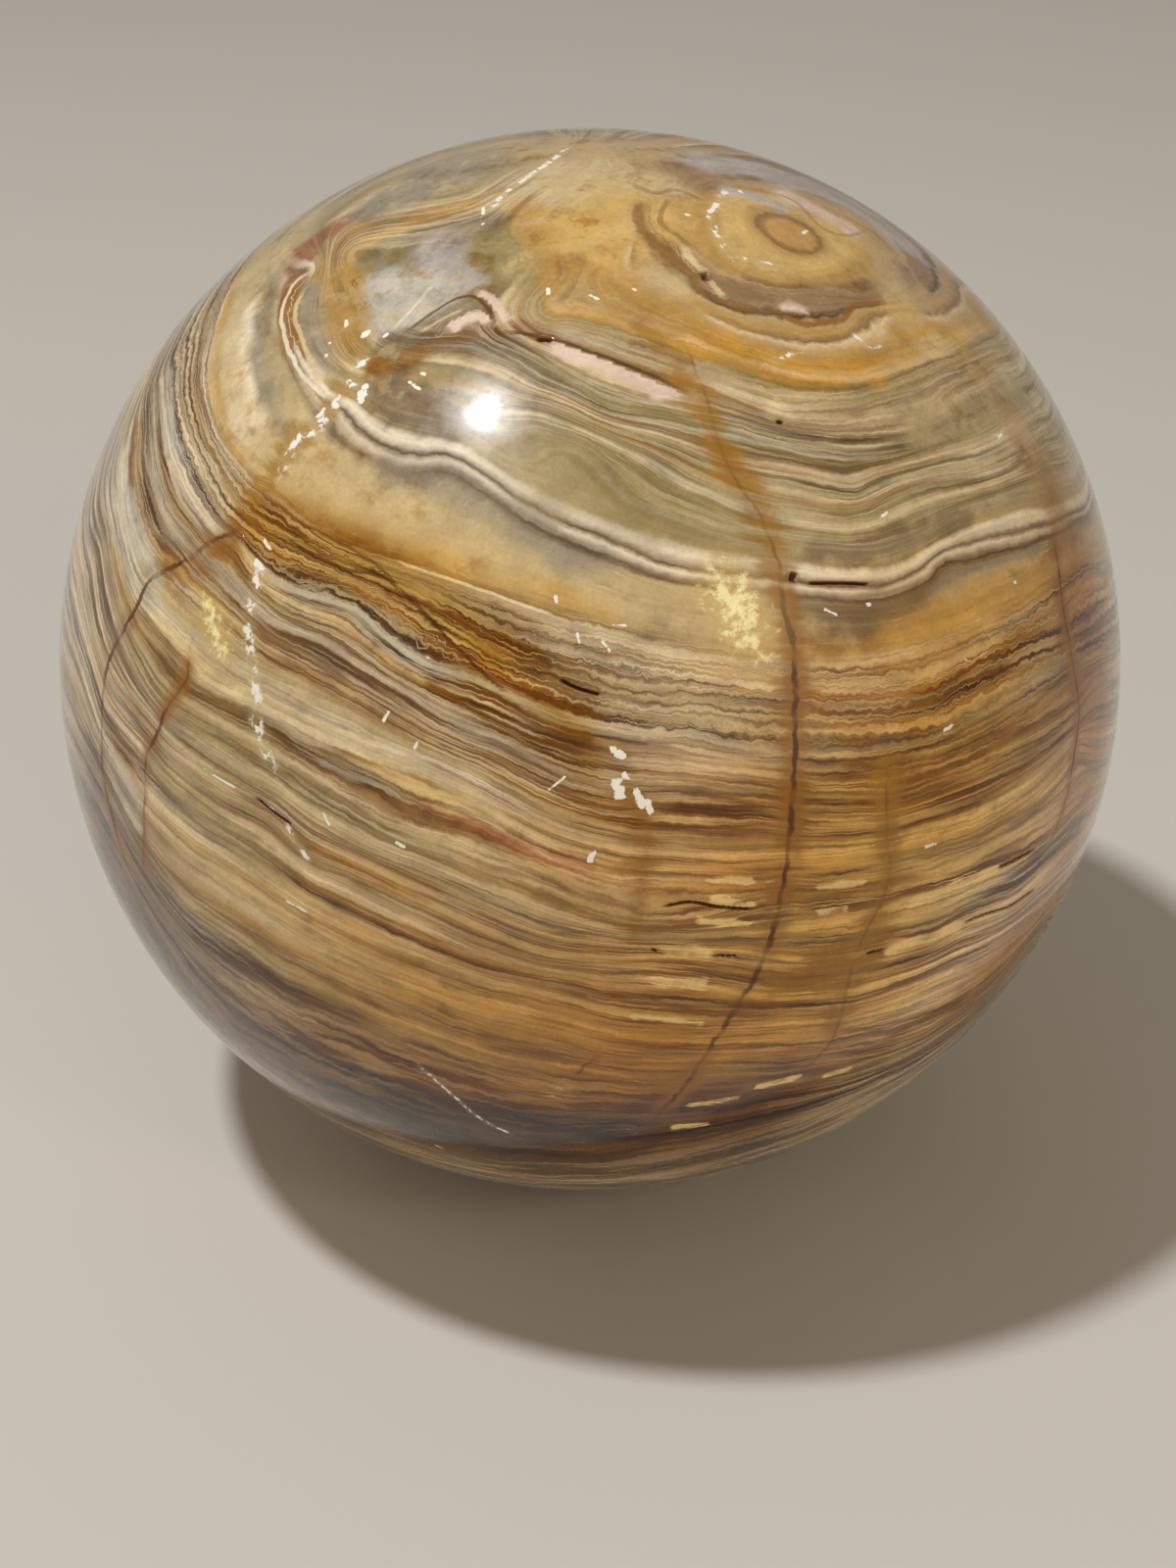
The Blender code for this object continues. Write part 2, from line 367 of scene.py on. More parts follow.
# Iron stains that lie over the lines too, in the same way.
STAINS = {
    "fissure stain head": ("saffron", 0.95, 1.6, ((672, 350), (691, 379), (711, 404))),
    "fissure stain": ("saffron", 1.0, 1.1, (
        (700, 390), (715, 412), (726, 439), (736, 460), (751, 486))),
    "fissure stain low": ("saffron", 1.0, 1.1, (
        (740, 470), (751, 486), (773, 507), (786, 533), (791, 565), (797, 597))),
    "fissure stain side": ("rust", 0.7, 1.2, ((760, 540), (778, 562), (790, 580))),
    "fissure stain foot": ("rust", 0.95, 1.3, (
        (800, 605), (812, 680), (811, 760), (808, 850), (798, 910))),
    "right stain": ("saffron", 1.0, 1.5, (
        (903, 785), (906, 850), (908, 885), (898, 925), (878, 965))),
    "right stain foot": ("rust", 0.85, 1.5, ((878, 965), (860, 1000), (850, 1040), (843, 1070))),
    "middle stain": ("ochre", 0.9, 1.3, ((636, 812), (655, 840), (654, 900), (650, 955))),
    "low right stain": ("ochre", 1.0, 3.0, ((800, 1008), (850, 992), (885, 968))),
    "left corner stain": ("saffron", 0.95, 1.3, ((262, 505), (300, 455), (330, 425), (345, 400))),
    "left fault stain": ("rust", 0.8, 1.4, ((240, 545), (215, 570), (190, 590))),
    "left fissure stain": ("rust", 0.55, 0.7, (
        (192, 675), (186, 700), (168, 725), (158, 755), (149, 790), (147, 850))),
    "left fault foot": ("rust", 0.8, 0.9, ((106, 770), (116, 840), (128, 880))),
    "far fissure stain": ("saffron", 0.95, 1.3, (
        (-340, 360), (-350, 430), (-342, 520), (-378, 630))),
    "far low stain": ("rust", 0.9, 1.6, ((-395, 760), (-450, 880), (-470, 990))),
    "far side stain": ("saffron", 0.8, 1.3, ((-850, 520), (-880, 610), (-870, 740))),
    "right fissure stain": ("rust", 0.7, 1.5, ((1075, 540), (1085, 620), (1099, 702), (1095, 778))),
}
# Where the beds fade into clear stone: how much, half-width in mm and course in pixels.
PLAIN = {
    "pool": (1.0, 6.0, ((370, 300), (430, 285), (500, 262), (560, 240))),
    "honey cloud": (1.0, 6.0, ((600, 235), (650, 225))),
    "left turn": (1.0, 2.4, ((300, 296), (296, 340))),
    "eye": (0.6, 6.0, ((750, 225), (800, 240), (860, 250))),
    "first cream end": (0.85, 2.4, ((940, 436), (985, 424), (1040, 400))),
    "top limb": (1.0, 5.5, ((380, 205), (440, 180), (520, 158), (600, 152), (660, 156))),
    "shoulder rim": (1.0, 4.0, ((278, 275), (292, 250), (315, 225))),
    "milky left": (0.8, 4.0, ((258, 330), (262, 400), (300, 465), (380, 512), (470, 545))),
    "cream left": (0.35, 3.0, ((200, 655), (280, 705), (400, 760))),
    "calm low left": (0.45, 11.0, ((210, 835), (330, 930), (500, 990))),
    "brown flank": (0.6, 3.0, ((1015, 400), (1050, 455), (1085, 530))),
    "honey cloud top": (1.0, 4.0, ((585, 185), (640, 178))),
    "fan foot": (1.0, 3.2, ((385, 375), (430, 385), (470, 395))),
}
# Broad glazes that tint whole sides of the ball: tone, strength, half-width in mm and course.
# The glazes at the foot and at the right limb are painted shade.
GLAZES = {
    "golden right": ("golden_glaze", 1.0, 15.0, ((980, 780), (860, 880), (860, 1000), (720, 1060))),
    "golden middle": ("golden_glaze", 0.5, 6.0, ((620, 850), (740, 880))),
    # Painted shade: darkens the ball towards its foot.
    "shaded foot": ("painted_foot_shade", 1.0, 9.0, (
        (110, 880), (190, 1010), (330, 1110), (560, 1165), (760, 1140))),
    # Painted shade: darkens and browns the right limb, away from the key lamp.
    "shaded right limb": ("painted_limb_shade", 0.9, 7.0, (
        (1105, 600), (1120, 760), (1080, 900), (1010, 1000))),
    "golden foot": ("golden_glaze", 0.8, 12.0, ((420, 1040), (600, 1100))),
    "cool left": ("cool_glaze", 0.8, 12.0, ((170, 640), (260, 860))),
    "ochre belly": ("ochre_glaze", 1.0, 3.0, (
        (262, 540), (330, 560), (390, 586), (440, 614), (500, 664))),
    "ochre belly foot": ("ochre_glaze", 0.8, 1.8, ((500, 672), (560, 720), (600, 770))),
}
# Crazed spots, where the polished face breaks up the lamps' light, and where a straw glow and
# bright chips are painted in as the warm lamps' reflection: how much, half-width in mm and course
# in pixels.
CRAZED_REFLECTION_SPOTS = {
    "crazed middle": (1.0, 2.6, ((742, 602), (752, 625), (764, 652))),
    "crazed left": (1.0, 1.5, ((212, 622), (219, 640), (225, 658))),
}
# Narrow veins with their own tone: tone, strength, half-width in mm, course in pixels.
VEINS = {
    "pink lens": ("pink", 0.95, 0.95, ((560, 350), (590, 360), (625, 374), (665, 392), (702, 407))),
    "pink lens back": ("umber", 0.85, 0.2, (
        (515, 338), (560, 345), (600, 358), (650, 377), (704, 400))),
    "pink fold": ("pink", 0.9, 0.5, ((486, 300), (500, 305), (510, 318), (520, 328))),
    "pink fold foot": ("pink", 0.9, 0.6, ((458, 337), (475, 326), (492, 322), (499, 330))),
    "fold thread": ("umber", 0.75, 0.16, (
        (417, 337), (440, 320), (463, 306), (482, 302), (496, 313), (503, 323))),
    "fan rib": ("cream", 0.65, 0.14, ((430, 339), (452, 325), (472, 316))),
    "outer arc": ("ivory", 0.9, 0.2, (
        (318, 276), (300, 290), (288, 318), (291, 345), (302, 372), (318, 393), (334, 408))),
    "inner arc": ("cream", 0.9, 0.22, ((310, 296), (301, 318), (305, 338), (314, 360), (326, 390))),
    "lavender thread": ("silver", 0.9, 0.22, (
        (245, 552), (267, 579), (300, 601), (356, 619), (393, 649), (430, 675), (481, 692),
        (553, 724))),
    "pale thread": ("ivory", 0.85, 0.13, ((404, 573), (450, 588), (505, 607), (563, 627))),
    "belly thread": ("umber", 0.75, 0.16, (
        (288, 548), (345, 578), (392, 590), (430, 622), (470, 665), (518, 708))),
    "belly thread two": ("umber", 0.6, 0.14, ((300, 530), (350, 556), (386, 578), (410, 604))),
    "fan ray": ("ivory", 0.6, 0.16, ((401, 336), (418, 318), (440, 292))),
    "lobe ring": ("chestnut", 0.75, 0.5, (
        (652, 206), (653, 230), (667, 247), (697, 273), (715, 296), (742, 308), (775, 316))),
    "inner lobe": ("chestnut", 0.6, 0.26, (
        (684, 204), (675, 214), (675, 228), (692, 241), (706, 252))),
    "crown ring": ("chestnut", 0.5, 0.3, ((645, 188), (667, 197), (690, 194), (715, 204))),
    "lobe cream": ("cream", 0.9, 0.42, ((698, 252), (708, 268), (718, 278))),
    "lobe cream foot": ("cream", 0.85, 0.3, ((724, 286), (737, 302))),
    "pink crown edge": ("rust", 0.45, 0.22, (
        (788, 195), (814, 208), (834, 229), (850, 238), (868, 240), (882, 236))),
    "sill thread": ("rust", 0.85, 0.3, (
        (795, 320), (818, 330), (841, 330), (859, 325), (875, 311), (903, 309))),
    "crown thread": ("honey", 0.75, 0.4, ((400, 222), (440, 212), (480, 204), (520, 190))),
    "flank thread": ("gold", 0.75, 0.35, (
        (905, 335), (935, 345), (950, 330), (975, 345), (990, 372))),
}

# Healed cracks that show only faintly, by how much of their strength is left.
FAINT = {"right stain line": 0.35, "short spur": 0.6, "main fissure head": 0.5}
# Healed cracks: half-width in mm and course in pixels.
BROWN_CRACKS = {
    "main fissure head": (0.16, (
        (702, 357), (721, 409), (732, 446), (746, 483), (772, 520), (791, 564), (798, 590))),
    "main fissure": (0.24, (
        (798, 590), (798, 612), (809, 656), (812, 700), (811, 736), (810, 793), (806, 854),
        (798, 908), (787, 958), (767, 1003), (748, 1034), (725, 1069), (699, 1107), (668, 1141))),
    "right stain line": (0.2, (
        (905, 785), (905, 854), (909, 885), (898, 923), (875, 969), (856, 1042), (844, 1069),
        (810, 1099))),
    "right fissure": (0.16, (
        (1075, 540), (1085, 620), (1099, 702), (1101, 732), (1095, 778), (1089, 810), (1079, 842),
        (1070, 865))),
    "left fault": (0.26, (
        (245, 540), (218, 552), (188, 573), (152, 593), (139, 621), (121, 652), (109, 682),
        (105, 713), (104, 749), (105, 790), (114, 830), (127, 876), (142, 897))),
    "left fissure": (0.18, (
        (193, 672), (190, 693), (170, 723), (160, 749), (149, 774), (148, 805), (147, 841),
        (146, 889))),
    "wedge edge": (0.2, ((105, 752), (108, 748), (122, 765), (140, 790), (152, 812))),
    "far fissure": (0.22, (
        (-330, 330), (-352, 420), (-340, 520), (-380, 640), (-395, 760), (-450, 880),
        (-470, 1000))),
    "far fissure branch": (0.15, ((-380, 640), (-430, 690), (-470, 760), (-500, 800))),
    "far fissure two": (0.18, ((-860, 420), (-850, 520), (-880, 610), (-870, 740), (-910, 850))),
    "short spur": (0.16, ((617, 1074), (600, 1085), (588, 1097))),
}
# White cracks, whose white line is a painted glint off internal cracks: half-width in mm and course
# in pixels.
WHITE_GLINT_CRACKS = {
    "stitch": (0.46, (
        (265, 575), (262, 600), (252, 630), (255, 660), (258, 690), (264, 720), (264, 745),
        (280, 785))),
    "crown crack": (0.24, ((497, 216), (515, 198), (541, 179), (582, 150))),
    "corner chain": (0.46, (
        (288, 482), (304, 448), (325, 434), (355, 395), (364, 380), (375, 360))),
    "swirl chain": (0.3, ((742, 194), (733, 207), (723, 218), (727, 226), (733, 244), (744, 261))),
    "swirl branch": (0.18, ((757, 263), (775, 266), (792, 270))),
    "swirl hook": (0.2, ((870, 341), (884, 352), (898, 352))),
    "swirl streak": (0.22, ((785, 370), (809, 362))),
    "far stitch": (0.34, ((-640, 380), (-652, 440), (-640, 500), (-662, 560))),
    "low pale crack": (0.13, ((423, 1083), (460, 1116), (493, 1143), (523, 1158))),
    "open line lip": (0.1, ((205, 783), (240, 804), (272, 822), (290, 835))),
    "chip": (0.2, ((292, 842), (303, 860), (316, 878))),
}
# Painted glints, white flecks where crystal faces and pits in the stone catch the light: size in
# mm, and the two ends of each in pixels.
GLINTS = (
    (0.42, (372, 396), (368, 408)), (0.22, (353, 328), (353, 332)), (0.3, (370, 343), (375, 339)),
    (0.2, (392, 343), (395, 341)), (0.14, (336, 350), (337, 350)), (0.16, (333, 362), (333, 363)),
    (0.18, (431, 381), (433, 382)), (0.16, (418, 390), (428, 397)), (0.26, (300, 455), (305, 445)),
    (0.24, (325, 425), (330, 418)), (0.2, (701, 219), (702, 219)), (0.2, (819, 238), (823, 236)),
    (0.26, (755, 195), (756, 196)), (0.14, (567, 609), (568, 614)), (0.12, (589, 647), (591, 656)),
    (0.12, (626, 638), (638, 638)), (0.11, (615, 655), (622, 664)), (0.12, (613, 641), (613, 641)),
    (0.18, (493, 212), (493, 218)), (0.15, (492, 229), (494, 228)), (0.2, (559, 295), (560, 300)),
    (0.14, (602, 301), (610, 305)), (0.18, (646, 295), (648, 296)), (0.18, (602, 875), (604, 880)),
    (0.16, (984, 672), (986, 673)), (0.18, (1035, 594), (1036, 594)),
    (0.16, (886, 617), (888, 617)), (0.12, (842, 622), (853, 627)), (0.18, (972, 740), (964, 745)),
    (0.14, (945, 864), (955, 861)), (0.15, (396, 727), (391, 736)), (0.15, (423, 764), (426, 757)),
    (0.12, (560, 806), (576, 793)), (0.16, (405, 860), (412, 864)), (0.13, (293, 920), (312, 930)),
    (0.13, (900, 527), (905, 523)), (0.17, (1019, 446), (1022, 443)),
    (0.12, (1053, 411), (1054, 411)), (0.15, (443, 1168), (450, 1171)),
    (0.14, (330, 830), (336, 842)), (0.4, (627, 766), (634, 771)), (0.48, (629, 800), (633, 811)),
    (0.34, (649, 808), (655, 822)), (0.3, (661, 818), (664, 828)), (0.22, (637, 790), (641, 794)),
    (0.24, (606, 870), (601, 878)), (0.2, (270, 552), (276, 560)), (0.3, (262, 574), (268, 580)),
)
# Pale streaks along the beds of the lower half, a painted sheen where crystal faces inside catch
# the light: half-width in mm and the two ends in pixels.
PAINTED_SHEEN_STREAKS = (
    (0.75, (682, 970), (722, 973)), (0.7, (668, 1001), (716, 1003)),
    (0.4, (648, 1038), (715, 1045)), (0.5, (726, 897), (764, 899)), (0.55, (728, 919), (766, 923)),
    (0.4, (712, 940), (762, 943)), (0.5, (838, 931), (862, 927)), (0.75, (932, 920), (1015, 888)),
    (0.75, (908, 970), (978, 945)), (0.5, (705, 1128), (752, 1120)),
    (0.5, (775, 1108), (815, 1098)), (0.45, (842, 1098), (866, 1091)),
    (0.4, (690, 1150), (720, 1147)), (0.4, (836, 905), (880, 900)), (0.45, (935, 1005), (970, 992)),
)
# Open cracks along the beds: half-width in mm and course in pixels.
OPEN_CRACKS = {
    "mid crack": (0.14, ((678, 925), (705, 921), (735, 926), (768, 928))),
    "block crack": (0.12, ((665, 969), (670, 971))),
    "block crack end": (0.12, ((732, 975), (751, 976))),
    "right crack": (0.13, ((1020, 885), (1035, 878), (1057, 866))),
    "right low crack": (0.13, ((985, 941), (1005, 933), (1030, 925), (1055, 908))),
    "stain crack": (0.14, ((885, 973), (904, 969))),
    "left open crack": (0.14, ((262, 815), (280, 830), (296, 841))),
    "line pit": (0.42, ((806, 588), (813, 590))),
    "line pit tail": (0.14, ((826, 595), (862, 595), (886, 596))),
    "mauve pit": (0.5, ((716, 282), (723, 282))),
    "belly pit": (0.16, ((572, 694), (588, 702), (612, 709))),
    "stripe pit": (0.18, ((793, 430), (799, 431))),
    "honey pit": (0.2, ((548, 346), (562, 347))),
}

# Millimetres in a metre, and a length or cover too small to matter.
MM = 1000
TINY = 1e-12

# How far from its course a mark is looked for, in metres. A glaze's reach is for each mm of its
# half-width. A course of one point is drawn this little longer.
PATCH_REACH = 0.018
CRACK_REACH = 0.004
MESH_REACH = 0.003
MARK_REACH = 0.002
GLAZE_REACH = 0.003
POINT_LENGTH = 1e-7

# Gaps between the points drawn along a guide line and along a mark, in pixels.
GUIDE_GAP = 14
MARK_GAP = 6

# Guides of the hidden side: their angles from the eye and round it in degrees, how far they keep
# behind the rim that the camera sees, and how uneven their bed numbers are.
FROM_EYE = range(10, 180, 17)
ROUND_EYE = range(0, 360, 24)
BEHIND_RIM = -0.12
UNEVEN_BEDS = 1.2
UNEVEN_SEED = 4

# The field of bed numbers: its softness round each guide in mm, how loosely it holds to the guides,
# and how many places are worked out at once.
FIELD_SOFTNESS = 2.0
FIELD_SLACK = 1e-5
PLACES_AT_ONCE = 8000

# Soft patches fade by this factor, and the strongest of those that overlap leads by this power.
PATCH_FADE = 0.8
PATCH_LEAD = 3
CRAZED_POWER = 2
PLAIN_POWER = 4
# Cracks: how far across counts as none, the furthest that is told apart in mm, how fast and from
# what least strength the ends taper, and where and over how many mm the strength beside them fades.
FAR_ACROSS = 9.0
FURTHEST = 3
END_TAPER = 12
END_LEAST = 0.25
CRACK_GONE = 1.98
CRACK_FADE = 0.9
# A short mark's strength at its middle, which it loses by 1 for each half-width.
MARK_STRENGTH = 1.5

# Rounds of finer mesh: the margin round the marks in mm, and whether only the finest marks get it.
MESH_ROUNDS = ((1.3, False), (0.6, False), (0.25, True))
# Carving of the open cracks and pits: features to a metre, how uneven their depth is, and the seed.
CARVING_GRAIN = 900.0
CARVING_UNEVENNESS = 0.8
CARVING_SEED = 7.0

# Unevenness over the stone: features to a mm, detail and roughness.
GRAINS = {
    "wobble": (0.20, 2.0, 0.5),
    "crinkle": (1.1, 3.0, 0.55),
    "torn edge": (0.45, 4.0, 0.55),
    "marbling": (0.34, 6.0, 0.66),
    "fading ink": (0.12, 2.0, 0.5),
    "depth": (0.33, 5.0, 0.62),
    "speck": (2.6, 3.0, 0.7),
    "dark crack": (0.35, 2.0, 0.5),
    "stained crack": (0.22, 2.0, 0.5),
    "chips": (1.8, 3.0, 0.6),
    "crazing": (0.95, 4.0, 0.70),
    "polish": (0.6, 4.0, 0.6),
    "swell": (0.25, 1.0, 0.5),
}
# Where each effect starts and ends and, where it isn't 0 to 1, what it gives there.
LIMITS = {
    "cloud": (0.15, 0.70),
    "dark marbling": (0.50, 0.68, 0.0, 0.9),
    "pale marbling": (0.47, 0.36, 0.0, 0.5),
    "fading ink": (0.30, 0.50, 0.45, 1.0),
    "stain": (0.20, 1.15, 0.0, 0.80),
    "painted_sheen": (0.36, 0.95, 0.0, 0.90),
    "depth": (0.30, 0.72, 0.88, 1.09),
    "speck": (0.30, 0.70, 0.93, 1.06),
    "stained crack": (0.40, 0.60, 0.15, 0.75),
    "dark crack": (0.38, 0.62, 0.30, 0.90),
    "glint": (0.55, 0.80),
    "crazing": (0.34, 0.70),
    "painted_spark": (0.90, 1.60),
    "coat": (0.2, 0.6, 0.7, 0.0),
}
# How far torn edges, steps, raggedness and chips shift what they break up.
TORN = {"cloud": 1.1, "stain": 1.3, "painted_sheen": 1.6}
STAIN_STEPPING = 0.7
PAINTED_SHEEN_RAGGEDNESS = 0.55
GLINT_RAGGEDNESS = 2.2
PAINTED_SPARK_CHIPS = 0.9
# How strongly clouds, crazed spots and cracks show. The crazed spots' glow is a painted warm
# reflection, and the white cracks' line is a painted glint.
CLOUD_COVER = 0.95
PAINTED_REFLECTION_GLOW = 0.65
WHITE_HALO = 0.25
WHITE_GLINT_LINE = 0.95
OPEN_HALO = 0.35
OPEN_LINE = 0.92

# Lines in the beds: detail and roughness of them all, softness of the fine ones, and their share
# where no other is given. Bands and steps have lines per bed, change along per mm and softness.
LINE_DETAIL = 2.0
LINE_ROUGHNESS = 0.6
FINE_SOFTNESS = 0.06
EVEN_SHARE = 0.5
BROAD_BANDS = (0.9, 0.04, 0.16)
BAND_LIGHT = 1.03
BAND_CONTRAST = 0.50
STAIN_STEPS = (0.8, 0.09, 0.12)
DARK_LINES = ("umber", "rust", "slate", "chestnut")

# How each kind of crack is drawn: halo in half-widths, wander, grain per mm and gaps.
CRACK_KINDS = {
    "vein": (2.0, 2.6, 0.65, 0.0),
    "brown": (9.0, 4.0, 0.8, 0.0),
    "white": (3.0, 3.4, 1.15, 0.55),
    "open": (4.0, 0.5, 1.0, 0.0),
}
# Where a crack's line and halo start to fade and end, in half-widths, the detail and roughness of
# its wander and of its pieces, the pieces to each grain, and how softly they end.
LINE_CORE = 0.5
LINE_EDGE = 1.4
HALO_CORE = 0.6
WANDER = (3.0, 0.6)
PIECES = (2.0, 0.6)
PIECES_PER_GRAIN = 0.9
PIECE_START = 0.06
PIECE_END = 0.02

# The polished face: how unevenly it shines, what brown, white and open cracks add to its
# roughness, and the faint relief of the crazed spots.
POLISH_LIMITS = (0.3, 0.7)
POLISH_SPREAD = 1.9
CRACK_ROUGHNESS = (0.18, 0.20, 0.45)
FACETS_PER_MM = 1.1
FACET_HEIGHT = 2.0
BUMP_STRENGTH = 0.5
BUMP_DEPTH = 0.00003

# Lamps: the pixel where the ball mirrors each, its distance and width in metres, and its colour.
LAMPS = {
    "key_lamp": ((495, 420), 0.80, 0.070, (0.97, 0.98, 1.0)),
    "warm_lamp": ((752, 622), 0.60, 0.10, (1.0, 0.80, 0.52)),
    "fill_lamp": ((770, 770), 2.60, 3.20, (1.0, 0.90, 0.74)),
}
SKY_COLOUR = (1.0, 0.94, 0.84, 1)
FLOOR_ROUGHNESS = 0.9
CLIP_START = 0.01


def srgb(tone):
    """Turns a tone of 0 to 255 into the linear colour that a shader takes."""
    part = np.array(tone) / 255
    return np.where(part <= 0.04045, part / 12.92, ((part + 0.055) / 1.055) ** 2.4)


def unit(vectors):
    """Gives vectors at a length of one."""
    return vectors / np.linalg.norm(vectors, axis=-1, keepdims=True)


def camera_frame():
    """Gives the camera's place and its forward, right and up directions in the photograph."""
    ball_rise = (PHOTO_HEIGHT / 2 - BALL_Y) / FOCAL_PX
    tilt = LOOK_DOWN + math.atan(ball_rise)
    forward = np.array((0, math.cos(tilt), -math.sin(tilt)))
    up = np.array((0, math.sin(tilt), math.cos(tilt)))
    right = np.array((1.0, 0, 0))
    to_ball = unit(forward + right * (BALL_X - PHOTO_WIDTH / 2) / FOCAL_PX + up * ball_rise)
    distance = BALL_RADIUS / math.sin(math.atan(BALL_RADIUS_PX / FOCAL_PX))
    return CENTRE - to_ball * distance, forward, right, up


def on_ball(pixels):
    """Carries points of the photograph onto the ball's near side, or its rim where they miss it.

    A point with a negative x lies on the far side, where a camera turned half round would see it.
    """
    place, forward, right, up = camera_frame()
    pixels = np.array(pixels, float)
    far = pixels[:, 0] < 0
    pixels = np.abs(pixels)
    across = (pixels[:, :1] - PHOTO_WIDTH / 2) / FOCAL_PX
    above = (PHOTO_HEIGHT / 2 - pixels[:, 1:]) / FOCAL_PX
    ray = unit(forward + across * right + above * up)
    to_centre = CENTRE - place
    along = ray @ to_centre
    depth = BALL_RADIUS**2 - (to_centre @ to_centre - along**2)
    found = place + ray * (along - np.sqrt(np.maximum(depth, 0)))[:, None]
    outward = unit(found - CENTRE) * BALL_RADIUS
    outward[far, :2] *= -1
    return CENTRE + outward


def smooth_course(pixels, gap):
    """Draws a smooth curve through a course's points, with a point about every gap pixels."""
    course = [np.array(point, float) for point in pixels]
    if len(course) == 1:
        return course
    course = [2 * course[0] - course[1]] + course + [2 * course[-1] - course[-2]]
    drawn = []
    for before, start, end, after in zip(course, course[1:], course[2:], course[3:]):
        steps = max(1, round(float(np.linalg.norm(end - start)) / gap))
        for step in range(steps):
            t = step / steps
            curve = 2 * start + (end - before) * t
            curve += (2 * before - 5 * start + 4 * end - after) * t**2
            curve += (3 * start - before - 3 * end + after) * t**3
            drawn.append(curve / 2)
    drawn.append(course[-2])
    return drawn


def hidden_guides():
    """Numbers the beds of the hidden side by their angle from the eye, with a little unevenness."""
    axis = (on_ball([(EYE_X, EYE_Y)])[0] - CENTRE) / BALL_RADIUS
    to_camera = unit(camera_frame()[0] - CENTRE)
    side = unit(np.cross(axis, to_camera))
    other = np.cross(axis, side)
    uneven = np.random.default_rng(UNEVEN_SEED)
    places = []
    beds = []
    for angle in FROM_EYE:
        for turn in ROUND_EYE:
            a = math.radians(angle)
            t = math.radians(turn)
            way = axis * math.cos(a) + (side * math.cos(t) + other * math.sin(t)) * math.sin(a)
            if way @ to_camera < BEHIND_RIM:
                places.append(CENTRE + way * BALL_RADIUS)
                bed = np.interp(angle, HIDDEN_ANGLES, HIDDEN_BEDS)
                beds.append(bed + uneven.normal() * UNEVEN_BEDS)
    return places, beds


def spread_between(some, others):
    """Gives the softened distance in mm from each of some places to each of the others."""
    gaps = some[:, None] - others[None]
    return np.sqrt((gaps**2).sum(2) + FIELD_SOFTNESS**2)


def bed_numbers(places):
    """Gives the bed number at each place, from a smooth field that takes each guide line's own."""
    guides, beds = hidden_guides()
    for number, course in BED_LINES.values():
        drawn = on_ball(smooth_course(course, GUIDE_GAP))
        guides.extend(drawn)
        beds.extend([number] * len(drawn))
    guides = np.array(guides) * MM
    count = len(guides)
    tail = np.c_[np.ones(count), guides]
    system = np.zeros((count + 4, count + 4))
    system[:count, :count] = spread_between(guides, guides) - FIELD_SLACK * count * np.eye(count)
    system[:count, count:] = tail
    system[count:, :count] = tail.T
    weights = np.linalg.solve(system, np.r_[beds, np.zeros(4)])
    found = np.zeros(len(places))
    for start in range(0, len(places), PLACES_AT_ONCE):
        some = places[start:start + PLACES_AT_ONCE] * MM
        near = spread_between(some, guides) @ weights[:count]
        found[start:start + PLACES_AT_ONCE] = near + weights[count] + some @ weights[count + 1:]
    return found


def reach_of(places, course, reach=PATCH_REACH):
    """Gives each place's distance from a course in mm, its side, and how far along it lies.

    Places that are further off than the reach, in metres, are all taken to be far away.
    """
    line = on_ball(smooth_course(course, MARK_GAP))
    if len(line) == 1:
        line = np.array([line[0], line[0] + POINT_LENGTH])
    middle = line.mean(0)
    span = np.linalg.norm(line - middle, axis=1).max() + reach
    local = np.flatnonzero(np.linalg.norm(places - middle, axis=1) < span)
    some = places[local]
    nearest = np.full(len(some), 1.0)
    side = np.ones(len(some))
    along = np.zeros(len(some))
    walked = 0.0
    for start, end in zip(line, line[1:]):
        step = end - start
        length = float(np.linalg.norm(step)) + TINY
        share = np.clip((some - start) @ step / length**2, 0, 1)
        away = some - (start + share[:, None] * step)
        distance = np.linalg.norm(away, axis=1)
        closer = distance < nearest
        sideways = np.cross(step, (start + end) / 2 - CENTRE)
        nearest[closer] = distance[closer]
        side[closer] = np.where(away[closer] @ sideways < 0, -1, 1)
        along[closer] = (walked + share * length)[closer]
        walked += length
    found = np.full((3, len(places)), 1.0 * MM)
    found[:, local] = nearest * MM, side, along / walked
    return found


def cover_of(places, course, half_width, reach=PATCH_REACH, fade=PATCH_FADE, power=2):
    """Gives how far a soft mark covers each place: 1 on its course, less and less away from it."""
    distance = reach_of(places, course, reach)[0]
    return np.exp(-fade * (distance / half_width) ** power)


def soft_patches(places, patches):
    """Lays soft patches of tone on the places. Gives their colour and, as a fourth value, cover."""
    colour = np.zeros((len(places), 3))
    total = np.zeros(len(places))
    bare = np.ones(len(places))
    for name, strength, half_width, course in patches.values():
        cover = strength * cover_of(places, course, half_width)
        lead = cover**PATCH_LEAD
        colour += lead[:, None] * np.array(tone_of(name)[:3])
        total += lead
        bare *= 1 - cover
    return np.c_[colour / np.maximum(total, TINY)[:, None], 1 - bare]


def glaze_of(places):
    """Gives the tint of the broad glazes at each place, white where there is none."""
    tint = np.ones((len(places), 3))
    for name, strength, half_width, course in GLAZES.values():
        cover = strength * cover_of(places, course, half_width, half_width * GLAZE_REACH)
        tint *= 1 + cover[:, None] * (np.array(tone_of(name)[:3]) - 1)
    return np.c_[tint, np.ones(len(places))]


def strongest_of(places, marks, power):
    """Gives the strongest soft mark's cover at each place, with edges as sharp as the power."""
    strongest = np.zeros(len(places))
    for much, half_width, course in marks.values():
        cover = cover_of(places, course, half_width, fade=1, power=power)
        strongest = np.maximum(strongest, much * cover)
    return strongest


def vein_colours(places):
    """Gives the tone of the vein nearest to each place and, as a fourth value, its strength."""
    colour = np.zeros((len(places), 4))
    best = np.full(len(places), float(FURTHEST))
    for name, strength, half_width, course in VEINS.values():
        distance = reach_of(places, course, CRACK_REACH)[0]
        closer = distance < best
        best[closer] = distance[closer]
        colour[closer] = (*tone_of(name)[:3], strength)
    return colour


